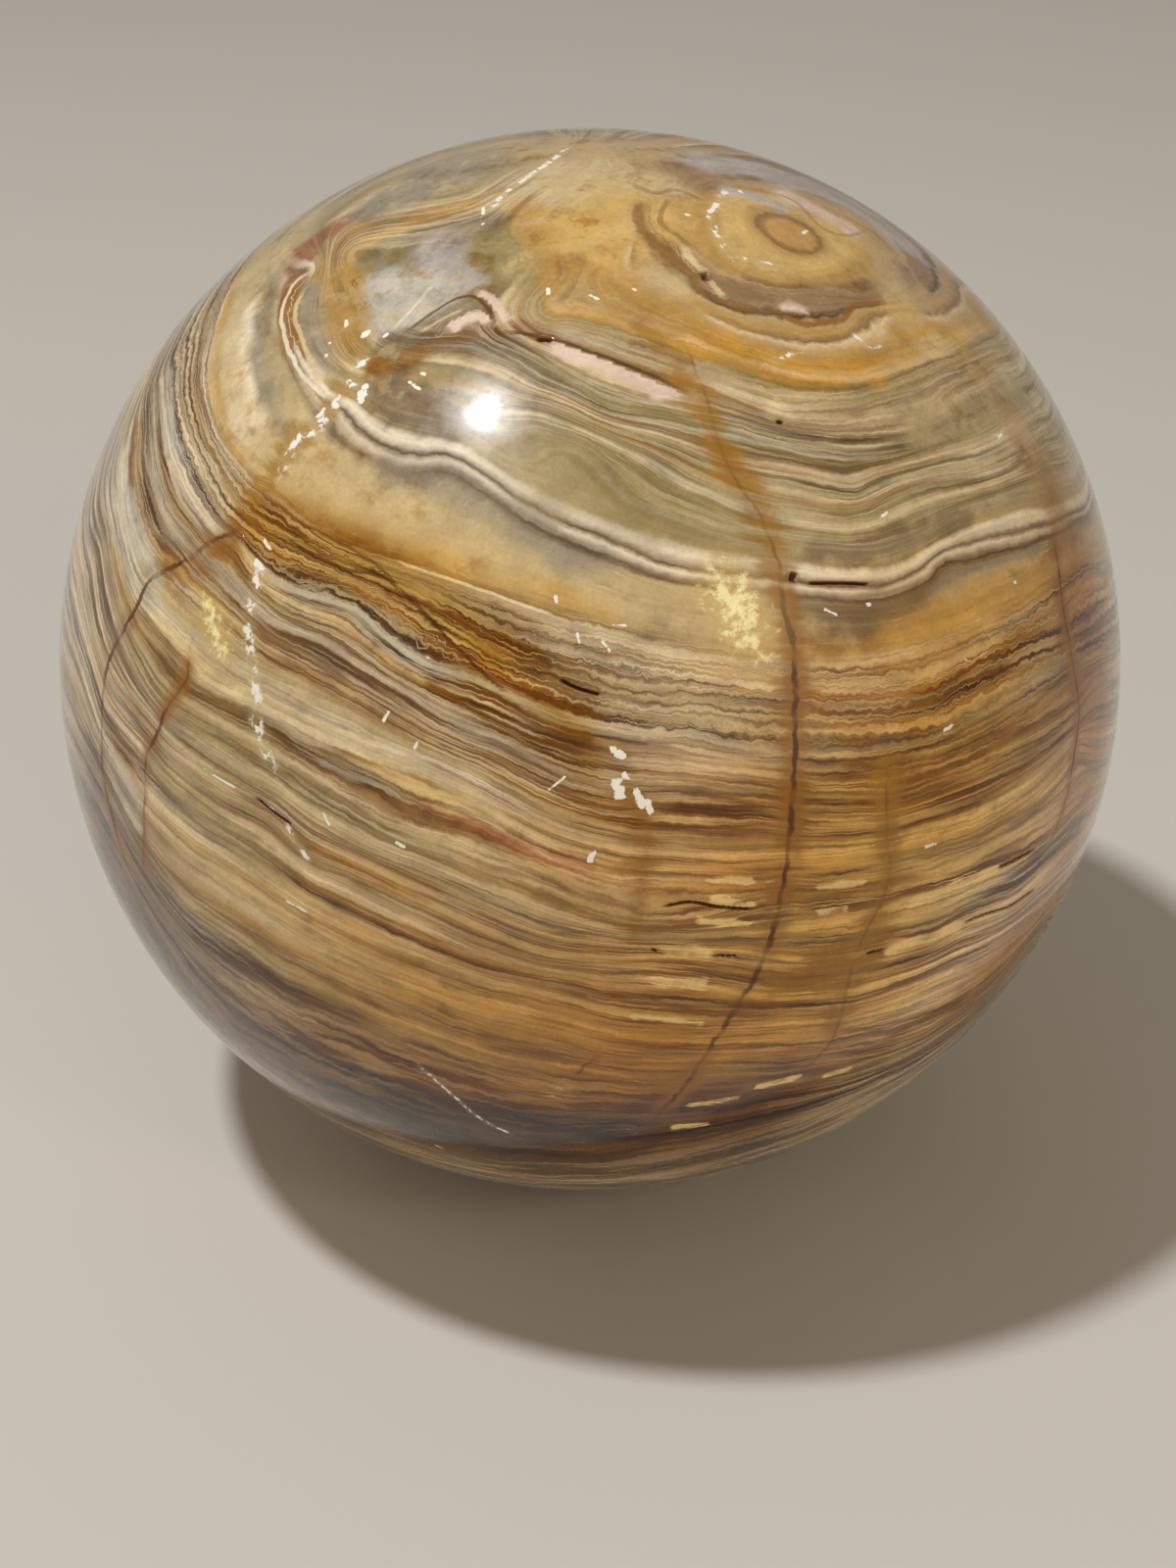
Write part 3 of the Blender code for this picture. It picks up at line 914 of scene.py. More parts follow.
def crack_fields(places, cracks):
    """Gives how far across its nearest crack each place is, in half-widths, and how near, 0 to 1.
    """
    across = np.full(len(places), FAR_ACROSS)
    near = np.zeros(len(places))
    best = np.full(len(places), np.inf)
    for name, (half_width, course) in cracks.items():
        distance, side, along = reach_of(places, course, CRACK_REACH)
        taper = np.clip(np.minimum(along, 1 - along) * END_TAPER + END_LEAST, 0, 1)
        fading = np.clip((CRACK_GONE - distance) / CRACK_FADE, 0, 1)
        closer = distance < best
        best[closer] = distance[closer]
        across[closer] = (np.minimum(distance, FURTHEST) * side / half_width)[closer]
        near[closer] = (taper * FAINT.get(name, 1) * fading)[closer]
    return across, near


def short_marks(places, marks):
    """Gives how strongly each place is inside one of many short marks, 0 to 1."""
    inside = np.zeros(len(places))
    for half_width, start, end in marks:
        distance = reach_of(places, (start, end), MARK_REACH)[0]
        inside = np.maximum(inside, np.clip(MARK_STRENGTH - distance / half_width, 0, 1))
    return inside


def ends_of(marks):
    """Lists short marks as cracks are: half-width in mm and course."""
    return [(half_width, (start, end)) for half_width, start, end in marks]


def ball_blank(fineness):
    """Makes the ball's fine mesh: even triangles, finer along the marks, with the flat under it."""
    blank = bmesh.new()
    bmesh.ops.create_icosphere(blank, subdivisions=fineness, radius=BALL_RADIUS)
    bmesh.ops.translate(blank, verts=blank.verts, vec=BALL_CENTRE)
    finest = [*OPEN_CRACKS.values(), *ends_of(GLINTS)]
    every = [*finest, *ends_of(PAINTED_SHEEN_STREAKS), *BROWN_CRACKS.values(), *WHITE_GLINT_CRACKS.values()]
    every += [vein[2:] for vein in VEINS.values()]
    for margin, only_finest in MESH_ROUNDS:
        places = np.array([vert.co for vert in blank.verts])
        close = np.zeros(len(places), bool)
        for half_width, course in finest if only_finest else every:
            close |= reach_of(places, course, MESH_REACH)[0] < half_width + margin
        edges = [edge for edge in blank.edges if all(close[vert.index] for vert in edge.verts)]
        bmesh.ops.subdivide_edges(blank, edges=edges, cuts=1, use_grid_fill=True)
        bmesh.ops.triangulate(blank, faces=[face for face in blank.faces if len(face.verts) > 3])
        for vert in blank.verts:
            vert.co = BALL_CENTRE + (vert.co - BALL_CENTRE).normalized() * BALL_RADIUS
        blank.verts.index_update()
    cut = bmesh.ops.bisect_plane(
        blank,
        geom=blank.verts[:] + blank.edges[:] + blank.faces[:],
        plane_co=Vector((0, 0, 0)),
        plane_no=Vector((0, 0, -1)),
        clear_outer=True,
    )
    rim = [item for item in cut["geom_cut"] if isinstance(item, bmesh.types.BMEdge)]
    foot = bmesh.ops.contextual_create(blank, geom=rim)["faces"]
    bmesh.ops.triangulate(blank, faces=foot)
    bmesh.ops.recalc_face_normals(blank, faces=blank.faces)
    for edge in rim:
        edge.smooth = False
    mesh = bpy.data.meshes.new("onyx_ball")
    blank.to_mesh(mesh)
    blank.free()
    mesh.polygons.foreach_set("use_smooth", [True] * len(mesh.polygons))
    return mesh


def store(mesh, name, values):
    """Keeps one value, or one colour, for each vertex under a name that the material reads."""
    if values.ndim == 1:
        mesh.attributes.new(name, "FLOAT", "POINT").data.foreach_set("value", values)
    else:
        mesh.attributes.new(name, "FLOAT_COLOR", "POINT").data.foreach_set("color", values.ravel())


def mark_mesh(mesh):
    """Works out the bed number, clouds, stains and cracks at every vertex."""
    places = np.zeros(len(mesh.vertices) * 3)
    mesh.vertices.foreach_get("co", places)
    places = places.reshape(-1, 3)
    store(mesh, "bed", bed_numbers(places))
    store(mesh, "cloud", soft_patches(places, CLOUDS))
    store(mesh, "stain", soft_patches(places, STAINS))
    # Crazed spots: their relief and duller coat, and a painted warm reflection in their colour.
    store(mesh, "crazed_and_glow", strongest_of(places, CRAZED_REFLECTION_SPOTS, CRAZED_POWER))
    store(mesh, "plain", strongest_of(places, PLAIN, PLAIN_POWER))
    store(mesh, "glaze", glaze_of(places))
    store(mesh, "vein", vein_colours(places))
    veins = {name: vein[2:] for name, vein in VEINS.items()}
    lines = {"brown": BROWN_CRACKS, "white": WHITE_GLINT_CRACKS, "open": OPEN_CRACKS, "vein": veins}
    for name, cracks in lines.items():
        across, near = crack_fields(places, cracks)
        store(mesh, name + "_across", across)
        store(mesh, name + "_near", near)
    store(mesh, "glint", short_marks(places, GLINTS))
    store(mesh, "painted_sheen", short_marks(places, PAINTED_SHEEN_STREAKS))


class Nodes:
    """Adds nodes to a tree and joins them, so that a material reads as a list of its steps."""

    def __init__(self, tree):
        self.tree = tree

    def feed(self, socket, value):
        if isinstance(value, bpy.types.NodeSocket):
            self.tree.links.new(value, socket)
        else:
            socket.default_value = value

    def add(self, kind, inputs=(), **settings):
        """Adds a node with some settings, and feeds its first inputs in order."""
        node = self.tree.nodes.new(kind)
        for name, value in settings.items():
            setattr(node, name, value)
        for socket, value in zip(node.inputs, inputs):
            self.feed(socket, value)
        return node

    def math(self, operation, *values, clamp=False):
        return self.add("ShaderNodeMath", values, operation=operation, use_clamp=clamp).outputs[0]

    def times(self, first, second):
        return self.math("MULTIPLY", first, second)

    def minus(self, first, second):
        return self.math("SUBTRACT", first, second)

    def raised(self, base, value, factor):
        """Adds a value, scaled by a factor, to a base."""
        return self.math("MULTIPLY_ADD", value, factor, base)

    def scaled(self, vector, factor):
        node = self.add("ShaderNodeVectorMath", (vector,), operation="SCALE")
        self.feed(node.inputs["Scale"], factor)
        return node.outputs[0]

    def noise(self, place, scale, detail, roughness):
        node = self.add("ShaderNodeTexNoise")
        for name, value in zip(("Vector", "Scale", "Detail", "Roughness"),
                               (place, scale, detail, roughness)):
            self.feed(node.inputs[name], value)
        return node.outputs["Fac"]

    def grain(self, place, name):
        """Gives one of the named kinds of unevenness, from 0 to 1."""
        return self.noise(place, *GRAINS[name])

    def sway(self, place, name):
        """Gives one of the named kinds of unevenness, from -0.5 to 0.5."""
        return self.minus(self.grain(place, name), 0.5)

    def between(self, value, low, high, start=0.0, end=1.0):
        """Takes a value smoothly from one pair of limits to another."""
        return self.add("ShaderNodeMapRange", (value, low, high, start, end),
                        interpolation_type="SMOOTHSTEP").outputs[0]

    def limited(self, value, name):
        """Takes a value through the named limits."""
        return self.between(value, *LIMITS[name])

    def mix(self, factor, first, second, blend="MIX"):
        node = self.add("ShaderNodeMix", data_type="RGBA", blend_type=blend)
        self.feed(node.inputs["Factor"], factor)
        colours = [socket for socket in node.inputs if socket.type == "RGBA"]
        self.feed(colours[0], first)
        self.feed(colours[1], second)
        return [socket for socket in node.outputs if socket.type == "RGBA"][0]

    def shade(self, colour, much):
        """Darkens or lightens a colour, its three parts alike."""
        grey = self.add("ShaderNodeCombineXYZ", (much, much, much)).outputs[0]
        return self.mix(1.0, colour, grey, "MULTIPLY")

    def read(self, name, kind="Fac"):
        return self.add("ShaderNodeAttribute", attribute_name=name).outputs[kind]

    def ramp(self, value, stops):
        node = self.add("ShaderNodeValToRGB")
        marks = node.color_ramp.elements
        marks[0].position = 0
        marks[1].position = 1
        low = stops[0][0]
        high = stops[-1][0]
        for place, colour in stops[1:-1]:
            marks.new((place - low) / (high - low)).color = colour
        marks[0].color = stops[0][1]
        marks[len(stops) - 1].color = stops[-1][1]
        share = self.math("DIVIDE", self.minus(value, low), high - low, clamp=True)
        self.feed(node.inputs[0], share)
        return node.outputs["Color"]

    def long_ramp(self, value, stops):
        """Chains as many colour ramps as the stops need, each taking over where the last ends."""
        colour = None
        for first in range(0, len(stops) - 1, RAMP_STOPS - 1):
            part = stops[first:first + RAMP_STOPS]
            drawn = self.ramp(value, part)
            past = self.math("GREATER_THAN", value, part[0][0])
            colour = drawn if colour is None else self.mix(past, colour, drawn)
        return colour

    def levels(self, value, stops):
        """Gives a plain value that follows a list of stops."""
        return self.ramp(value, [(at, (level, level, level, 1)) for at, level in stops])

    def place_group(self, group, *inputs):
        node = self.add("ShaderNodeGroup")
        node.node_tree = group
        for socket, value in zip(node.inputs, inputs):
            self.feed(socket, value)
        return node.outputs


def new_group(name, inputs, outputs):
    """Makes an empty shader group with named sockets. Gives its node adder, inputs and outputs."""
    group = bpy.data.node_groups.new(name, "ShaderNodeTree")
    for socket, value in inputs.items():
        kind = "Vector" if value is None else "Float"
        made = group.interface.new_socket(
            socket, in_out="INPUT", socket_type="NodeSocket" + kind)
        if value is not None:
            made.default_value = value
    for socket in outputs:
        group.interface.new_socket(socket, in_out="OUTPUT", socket_type="NodeSocketFloat")
    nodes = Nodes(group)
    return nodes, nodes.add("NodeGroupInput").outputs, nodes.add("NodeGroupOutput").inputs


def lamination_group():
    """Fine lines that follow the beds: they change fast from bed to bed and slowly along them."""
    nodes, given, out = new_group(
        "Laminations",
        {"Bed": 0.0, "Place": None, "Lines per bed": 2.0, "Change along": 0.05, "Softness": 0.12,
         "Share": 0.5},
        ("Lines",),
    )
    bed, place, per_bed, along, softness, share = given[:6]
    texture = nodes.add("ShaderNodeTexNoise", noise_dimensions="4D")
    values = {"Vector": nodes.scaled(place, along), "W": nodes.times(bed, per_bed), "Scale": 1,
              "Detail": LINE_DETAIL, "Roughness": LINE_ROUGHNESS}
    for name, value in values.items():
        nodes.feed(texture.inputs[name], value)
    low = nodes.minus(share, softness)
    high = nodes.math("ADD", share, softness)
    nodes.feed(out["Lines"], nodes.between(texture.outputs["Fac"], low, high))
    return nodes.tree


def crack_group():
    """A healed crack: a wandering line of its own width with a soft halo, whole or in pieces."""
    nodes, given, out = new_group(
        "Healed crack",
        {"Across": FAR_ACROSS, "Near": 0.0, "Place": None, "Spread": 4.0, "Wander": 1.0,
         "Grain": 1.2, "Gaps": 0.0},
        ("Line", "Halo"),
    )
    across, near, place, spread, wander, grain, gaps = given[:7]
    shift = nodes.minus(nodes.noise(place, grain, *WANDER), 0.5)
    off = nodes.math("ABSOLUTE", nodes.raised(across, shift, wander))
    line = nodes.times(nodes.between(off, LINE_CORE, LINE_EDGE, 1.0, 0.0), near)
    halo = nodes.times(nodes.between(off, HALO_CORE, spread, 1.0, 0.0), near)
    patches = nodes.noise(place, nodes.times(grain, PIECES_PER_GRAIN), *PIECES)
    start = nodes.minus(gaps, PIECE_START)
    whole = nodes.between(patches, start, nodes.math("ADD", gaps, PIECE_END))
    nodes.feed(out["Line"], nodes.times(line, whole))
    nodes.feed(out["Halo"], halo)
    return nodes.tree


def tone_of(name):
    """Gives a tone of the stone as a linear colour with alpha."""
    return (*getattr(bpy.context.scene.onyx_tones, name), 1.0)


class StoneNodes(Nodes):
    """Draws the stone's colour step by step, from the beds up to the cracks."""

    def __init__(self, tree, stone):
        super().__init__(tree)
        self.laminations = lamination_group()
        self.crack = crack_group()
        place = self.scaled(self.add("ShaderNodeTexCoord").outputs["Object"], float(MM))
        self.place = place
        self.own_bed = self.read("bed")
        bed = self.raised(self.own_bed, self.sway(place, "wobble"), stone.wobble)
        crinkled = self.times(self.levels(self.own_bed, CRINKLE), stone.crinkle)
        self.bed = self.raised(bed, self.sway(place, "crinkle"), crinkled)
        self.torn = self.sway(place, "torn edge")
        self.shown = self.minus(1.0, self.read("plain"))

    def tint(self, colour, much, name, blend="MIX"):
        """Lays a named tone over the colour."""
        return self.mix(much, colour, tone_of(name), blend)

    def fine_lines(self, per_bed, along, softness, share=EVEN_SHARE):
        """Gives one set of lines that follow the beds."""
        return self.place_group(
            self.laminations, self.bed, self.place, per_bed, along, softness, share)[0]

    def torn_edge(self, kind, part):
        """Gives how far each place is inside a kind of patch, with a torn edge."""
        return self.raised(self.read(kind, part), self.torn, TORN[kind])

    def cracks(self, kind):
        """Gives the lines and the halos of one kind of crack."""
        return self.place_group(self.crack, self.read(kind + "_across"), self.read(kind + "_near"),
                                self.place, *CRACK_KINDS[kind])

    def beds(self):
        """Colours the stone by its beds, then lays the clouds and the marbling on them."""
        colour = self.long_ramp(self.bed, [(at, tone_of(name)) for at, name in BED_COLOURS])
        cover = self.limited(self.torn_edge("cloud", "Alpha"), "cloud")
        colour = self.mix(self.times(cover, CLOUD_COVER), colour, self.read("cloud", "Color"))
        clear = self.times(cover, self.read("plain"))
        marble = self.grain(self.place, "marbling")
        dark = self.times(self.limited(marble, "dark marbling"), clear)
        colour = self.tint(colour, dark, "mottle", "MULTIPLY")
        pale = self.times(self.limited(marble, "pale marbling"), clear)
        return self.tint(colour, pale, "milk")

    def lines(self, colour):
        """Draws the clearest lines, the sets of fine lines and the broad bands."""
        ink = self.ramp(self.bed, [(at, (*tone_of(name)[:3], much)) for at, name, much in INKS])
        fade = self.limited(self.grain(self.place, "fading ink"), "fading ink")
        fade = self.times(fade, self.shown)
        colour = self.mix(self.times(ink.node.outputs["Alpha"], fade), colour, ink)
        strength = self.times(self.levels(self.own_bed, LINES), self.shown)
        for per_bed, along, share, name, much in FINE_LINES:
            drawn = self.fine_lines(per_bed, along, FINE_SOFTNESS, share)
            blend = "MULTIPLY" if name in DARK_LINES else "MIX"
            colour = self.tint(colour, self.times(drawn, self.times(strength, much)), name, blend)
        self.finest = drawn
        bands = self.times(self.minus(self.fine_lines(*BROAD_BANDS), 0.5), strength)
        return self.shade(colour, self.raised(BAND_LIGHT, bands, BAND_CONTRAST))

    def stains(self, colour):
        """Lays the veins, the glazes, the iron stains and the pale streaks' painted sheen."""
        vein = self.times(self.cracks("vein")["Line"], self.read("vein", "Alpha"))
        colour = self.mix(vein, colour, self.read("vein", "Color"))
        # The glazes include painted shade at the foot and at the right limb.
        colour = self.mix(1.0, colour, self.read("glaze", "Color"), "MULTIPLY")
        steps = self.minus(self.fine_lines(*STAIN_STEPS), 0.5)
        edge = self.raised(self.torn_edge("stain", "Alpha"), steps, STAIN_STEPPING)
        colour = self.mix(self.limited(edge, "stain"), colour, self.read("stain", "Color"))
        # Painted sheen: pale streaks where crystal faces inside catch the light.
        ragged = self.minus(self.finest, 0.5)
        painted_sheen = self.raised(self.torn_edge("painted_sheen", "Fac"), ragged, PAINTED_SHEEN_RAGGEDNESS)
        colour = self.tint(colour, self.limited(painted_sheen, "painted_sheen"), "painted_sheen")
        for name in ("depth", "speck"):
            colour = self.shade(colour, self.limited(self.grain(self.place, name), name))
        return colour

    def healed_cracks(self, colour, brown, white):
        """Draws the brown healed cracks, and the white cracks with their painted glint."""
        parts = (("Halo", "stained crack", "rust"), ("Line", "dark crack", "bark"))
        for part, name, stain in parts:
            much = self.limited(self.grain(self.place, name), name)
            colour = self.tint(colour, self.times(brown[part], much), stain)
        # White cracks: a milky halo and a white line, painted glint off internal cracks.
        colour = self.tint(colour, self.times(white["Halo"], WHITE_HALO), "milk")
        return self.tint(colour, self.times(white["Line"], WHITE_GLINT_LINE), "white")

    def chips(self, colour, crazed_and_glow, gape):
        """Draws painted glints, the crazed spots' painted warm glow, and the open cracks."""
        # Painted glints: white flecks where crystal faces and pits catch the light.
        glint = self.raised(self.read("glint"), self.sway(self.place, "chips"), GLINT_RAGGEDNESS)
        colour = self.tint(colour, self.limited(glint, "glint"), "white")
        # Painted warm reflection: a straw glow and bright chips over the crazed spots.
        colour = self.tint(colour, self.times(crazed_and_glow, PAINTED_REFLECTION_GLOW), "straw")
        broken = self.limited(self.grain(self.place, "crazing"), "crazing")
        painted_sparks = self.limited(self.raised(crazed_and_glow, broken, PAINTED_SPARK_CHIPS), "painted_spark")
        colour = self.tint(colour, painted_sparks, "painted_spark")
        colour = self.tint(colour, self.times(gape["Halo"], OPEN_HALO), "rust")
        return self.tint(colour, self.times(gape["Line"], OPEN_LINE), "bark")

    def roughness(self, polish, *kinds):
        """Gives the polished face's roughness, duller in the cracks."""
        uneven = self.grain(self.place, "polish")
        rough = self.between(uneven, *POLISH_LIMITS, polish, polish * POLISH_SPREAD)
        for crack, much in zip(kinds, CRACK_ROUGHNESS):
            rough = self.raised(rough, crack["Line"], much)
        return self.math("MINIMUM", rough, 1.0)

    def relief(self, crazed_and_glow):
        """Gives the face's faint swell and the facets of the crazed spots."""
        facets = self.add("ShaderNodeTexVoronoi")
        self.feed(facets.inputs["Vector"], self.place)
        facets.inputs["Scale"].default_value = FACETS_PER_MM
        broken = self.times(facets.outputs["Distance"], crazed_and_glow)
        height = self.raised(self.grain(self.place, "swell"), broken, FACET_HEIGHT)
        bump = self.add("ShaderNodeBump")
        bump.inputs["Strength"].default_value = BUMP_STRENGTH
        bump.inputs["Distance"].default_value = BUMP_DEPTH
        self.feed(bump.inputs["Height"], height)
        return bump.outputs[0]


def stone_material(stone):
    """Makes the polished stone: its colour, its gloss and its faint relief."""
    material = bpy.data.materials.new("banded_onyx")
    material.use_nodes = True
    nodes = StoneNodes(material.node_tree, stone)
    shader = material.node_tree.nodes["Principled BSDF"].inputs
    brown, white, gape = (nodes.cracks(kind) for kind in ("brown", "white", "open"))
    crazed_and_glow = nodes.read("crazed_and_glow")

    colour = nodes.stains(nodes.lines(nodes.beds()))
    colour = nodes.healed_cracks(colour, brown, white)
    nodes.feed(shader["Base Color"], nodes.chips(colour, crazed_and_glow, gape))
    nodes.feed(shader["Roughness"], nodes.roughness(stone.polish, brown, white, gape))
    dull = nodes.math("MAXIMUM", gape["Line"], crazed_and_glow)
    nodes.feed(shader["Coat Weight"], nodes.limited(dull, "coat"))
    nodes.feed(shader["Normal"], nodes.relief(crazed_and_glow))
    shader["Coat Roughness"].default_value = 0.03
    shader["Coat IOR"].default_value = 1.32
    shader["IOR"].default_value = 1.50
    shader["Specular IOR Level"].default_value = 0.25
    return material


def carving_tree(material):
    """Builds the Geometry Nodes that sink the open cracks and pits into the ball."""
    tree = bpy.data.node_groups.new("carve_open_cracks", "GeometryNodeTree")
    tree.is_modifier = True
    wanted = {"Ball": "Geometry", "Crack Depth": "Float", "Unevenness": "Float", "Seed": "Float",
              "Stone": "Material"}
    for name, kind in wanted.items():
        tree.interface.new_socket(name, in_out="INPUT", socket_type="NodeSocket" + kind)
    tree.interface.new_socket("Ball", in_out="OUTPUT", socket_type="NodeSocketGeometry")
    nodes = Nodes(tree)
    given = nodes.add("NodeGroupInput").outputs
    reading = "GeometryNodeInputNamedAttribute"
    across, near = (nodes.add(reading, (name,), data_type="FLOAT").outputs["Attribute"]
                    for name in ("open_across", "open_near"))
    inside = nodes.math("SUBTRACT", 1.0, nodes.times(across, across), clamp=True)
    rough = nodes.add("ShaderNodeTexNoise", noise_dimensions="4D")
    nodes.feed(rough.inputs["Vector"], nodes.add("GeometryNodeInputPosition").outputs[0])
    nodes.feed(rough.inputs["W"], given["Seed"])
    rough.inputs["Scale"].default_value = CARVING_GRAIN
    uneven = nodes.times(nodes.minus(rough.outputs["Fac"], 0.5), given["Unevenness"])
    sunk = nodes.times(nodes.times(inside, near), given["Crack Depth"])
    sunk = nodes.times(sunk, nodes.math("ADD", uneven, 1.0))
    inward = nodes.scaled(nodes.add("GeometryNodeInputNormal").outputs[0], nodes.times(sunk, -1.0))
    carve = nodes.add("GeometryNodeSetPosition")
    nodes.feed(carve.inputs["Geometry"], given["Ball"])
    nodes.feed(carve.inputs["Offset"], inward)
    real = nodes.add("GeometryNodeRealizeInstances", (carve.outputs[0],))
    dress = nodes.add("GeometryNodeSetMaterial")
    nodes.feed(dress.inputs["Geometry"], real.outputs[0])
    nodes.feed(dress.inputs["Material"], given["Stone"])
    nodes.feed(nodes.add("NodeGroupOutput").inputs[0], dress.outputs[0])
    return tree


def carved(mesh, material, stone):
    """Runs the carving tree on a mesh and gives the result as a plain mesh."""
    holder = bpy.data.objects.new("ball_blank", mesh)
    bpy.context.scene.collection.objects.link(holder)
    tree = carving_tree(material)
    modifier = holder.modifiers.new("carving", "NODES")
    modifier.node_group = tree
    values = {"Crack Depth": stone.crack_depth, "Unevenness": CARVING_UNEVENNESS,
              "Seed": CARVING_SEED, "Stone": material}
    for item in tree.interface.items_tree:
        if item.in_out == "INPUT" and item.name in values:
            modifier[item.identifier] = values[item.name]
    graph = bpy.context.evaluated_depsgraph_get()
    result = bpy.data.meshes.new_from_object(holder.evaluated_get(graph), depsgraph=graph)
    bpy.data.objects.remove(holder)
    return result


def hang_lamp(name, power, pixel, distance, size, colour):
    """Hangs a round lamp so that the ball mirrors it at a pixel of the photograph."""
    spot = on_ball([pixel])[0]
    outward = (spot - CENTRE) / BALL_RADIUS
    seen = unit(camera_frame()[0] - spot)
    way = 2 * outward * (outward @ seen) - seen
    light = bpy.data.lights.new(name, "AREA")
    light.shape = "DISK"
    light.size = size
    light.energy = power
    light.color = colour
    lamp = bpy.data.objects.new(name, light)
    lamp.location = spot + way * distance
    lamp.rotation_euler = Vector(way).to_track_quat("Z", "Y").to_euler()
    bpy.context.scene.collection.objects.link(lamp)


def lay_floor(colour, size):
    """Lays a plain floor at the height that the ball stands on."""
    half = size / 2
    mesh = bpy.data.meshes.new("floor")
    corners = [(-half, -half, 0), (half, -half, 0), (half, half, 0), (-half, half, 0)]
    mesh.from_pydata(corners, [], [(0, 1, 2, 3)])
    plaster = bpy.data.materials.new("pale_floor")
    plaster.use_nodes = True
    shader = plaster.node_tree.nodes["Principled BSDF"].inputs
    shader["Base Color"].default_value = (*colour, 1)
    shader["Roughness"].default_value = FLOOR_ROUGHNESS
    mesh.materials.append(plaster)
    floor = bpy.data.objects.new("floor", mesh)
    bpy.context.scene.collection.objects.link(floor)


def place_camera():
    """Places the camera where the photograph was taken from."""
    place, forward = camera_frame()[:2]
    lens = bpy.data.cameras.new("camera")
    lens.sensor_width = SENSOR_MM
    lens.lens = FOCAL_PX * SENSOR_MM / PHOTO_HEIGHT
    lens.clip_start = CLIP_START
    camera = bpy.data.objects.new("camera", lens)
    camera.location = place
    camera.rotation_euler = Vector(-forward).to_track_quat("Z", "Y").to_euler()
    bpy.context.scene.collection.objects.link(camera)
    bpy.context.scene.camera = camera


def tone(name, description, colour):
    """Declares one tone of the stone, given as sRGB of 0 to 255."""
    return bpy.props.FloatVectorProperty(
        name=name, description=description, subtype="COLOR", size=3, min=0, max=1,
        default=tuple(srgb(colour)),
    )


class OnyxTones(bpy.types.PropertyGroup):
    """The colours of the stone, and those of its painted shade, glints, sheen and warm reflection.
    """

    amber: tone("Amber", "Heart of the eye", (200, 152, 84))
    straw: tone("Straw", "Yellow ring round the eye", (214, 176, 104))
    honey: tone("Honey", "Clear honey stone", (190, 148, 78))
    gold: tone("Gold", "Deep yellow patches", (206, 154, 58))
    ochre: tone("Ochre", "Iron-stained stone", (150, 100, 8))
    saffron: tone("Saffron", "Iron stain along the cracks", (166, 118, 36))
    rust: tone("Rust", "Dark iron stain", (154, 100, 34))
    umber: tone("Umber", "Dark lines and healed cracks", (88, 54, 16))
    bark: tone("Bark", "Darkest stone by the foot", (82, 40, 2))
    chestnut: tone("Chestnut", "Warm brown lines", (142, 102, 52))
    mauve: tone("Mauve", "Mauve-brown beds", (148, 112, 74))
    taupe: tone("Taupe", "Dull brown beds", (134, 112, 80))
    olive: tone("Olive", "Glassy olive stone", (160, 142, 94))
    moss: tone("Moss", "Dark glassy olive stone", (140, 122, 76))
    sage: tone("Sage", "Pale grey-green stone", (182, 162, 118))
    sand: tone("Sand", "Pale brown beds", (194, 164, 114))
    tan: tone("Tan", "Middle brown beds", (178, 142, 88))
    wheat: tone("Wheat", "Light warm brown", (204, 166, 106))
    cream: tone("Cream", "Cream beds", (228, 202, 154))
    ivory: tone("Ivory", "Brightest beds", (252, 236, 206))
    milk: tone("Milk", "Milky stone", (212, 186, 136))
    lavender: tone("Lavender", "Cool pale threads", (192, 180, 172))
    grey: tone("Grey", "Warm grey stone", (160, 146, 122))
    silver: tone("Silver", "Silver-white beds and the clear fan", (210, 202, 184))
    slate: tone("Slate", "Cool grey-green stone", (152, 138, 110))
    pink: tone("Pink", "Pink-white lens", (236, 208, 186))
    brick: tone("Brick", "Red-brown streaks", (168, 104, 62))
    golden_glaze: tone("Golden Glaze", "Tint of the golden side", (244, 211, 134))
    cool_glaze: tone("Cool Glaze", "Tint of the cool side", (248, 242, 222))
    # Painted shade: darkens the ball towards its foot.
    painted_foot_shade: tone("Painted Foot Shade", "Tint of the shaded foot", (132, 96, 48))
    # Painted shade: darkens and browns the right limb.
    painted_limb_shade: tone("Painted Limb Shade", "Tint of the brown right side", (208, 160, 88))
    ochre_glaze: tone("Ochre Glaze", "Tint of the iron-stained belly", (246, 216, 128))
    # Painted highlight: the bright chips of the warm reflection in the crazed spots.
    painted_spark: tone("Painted Spark", "Bright chips in the crazed spots", (255, 240, 178))
    # Painted sheen: pale streaks that stand in for light off crystal faces inside.
    painted_sheen: tone("Painted Sheen", "Pale streaks along the beds", (255, 216, 144))
    mottle: tone("Mottle", "Shade of the marbling in the clear stone", (214, 184, 140))
    # Painted glints: the white of the short glints and of the white cracks' line.
    white: tone("White", "Crystals in the cracks", (255, 250, 236))


class OnyxStone(bpy.types.PropertyGroup):
    """Sizes and finish of the stone."""

    fineness: bpy.props.IntProperty(
        name="Fineness", description="How finely the ball's mesh is divided", default=7, min=4,
        max=8)
    crack_depth: bpy.props.FloatProperty(
        name="Crack Depth", description="Depth of the open cracks and pits", default=0.0005,
        min=0, max=0.003, unit="LENGTH", precision=5)
    wobble: bpy.props.FloatProperty(
        name="Wobble", description="How far the beds sway, in beds", default=0.7, min=0, max=5)
    crinkle: bpy.props.FloatProperty(
        name="Crinkle", description="How strongly the thin beds crinkle, in beds", default=1.0,
        min=0, max=5)
    polish: bpy.props.FloatProperty(
        name="Polish", description="Roughness of the polished face", default=0.16, min=0, max=1,
        subtype="FACTOR")


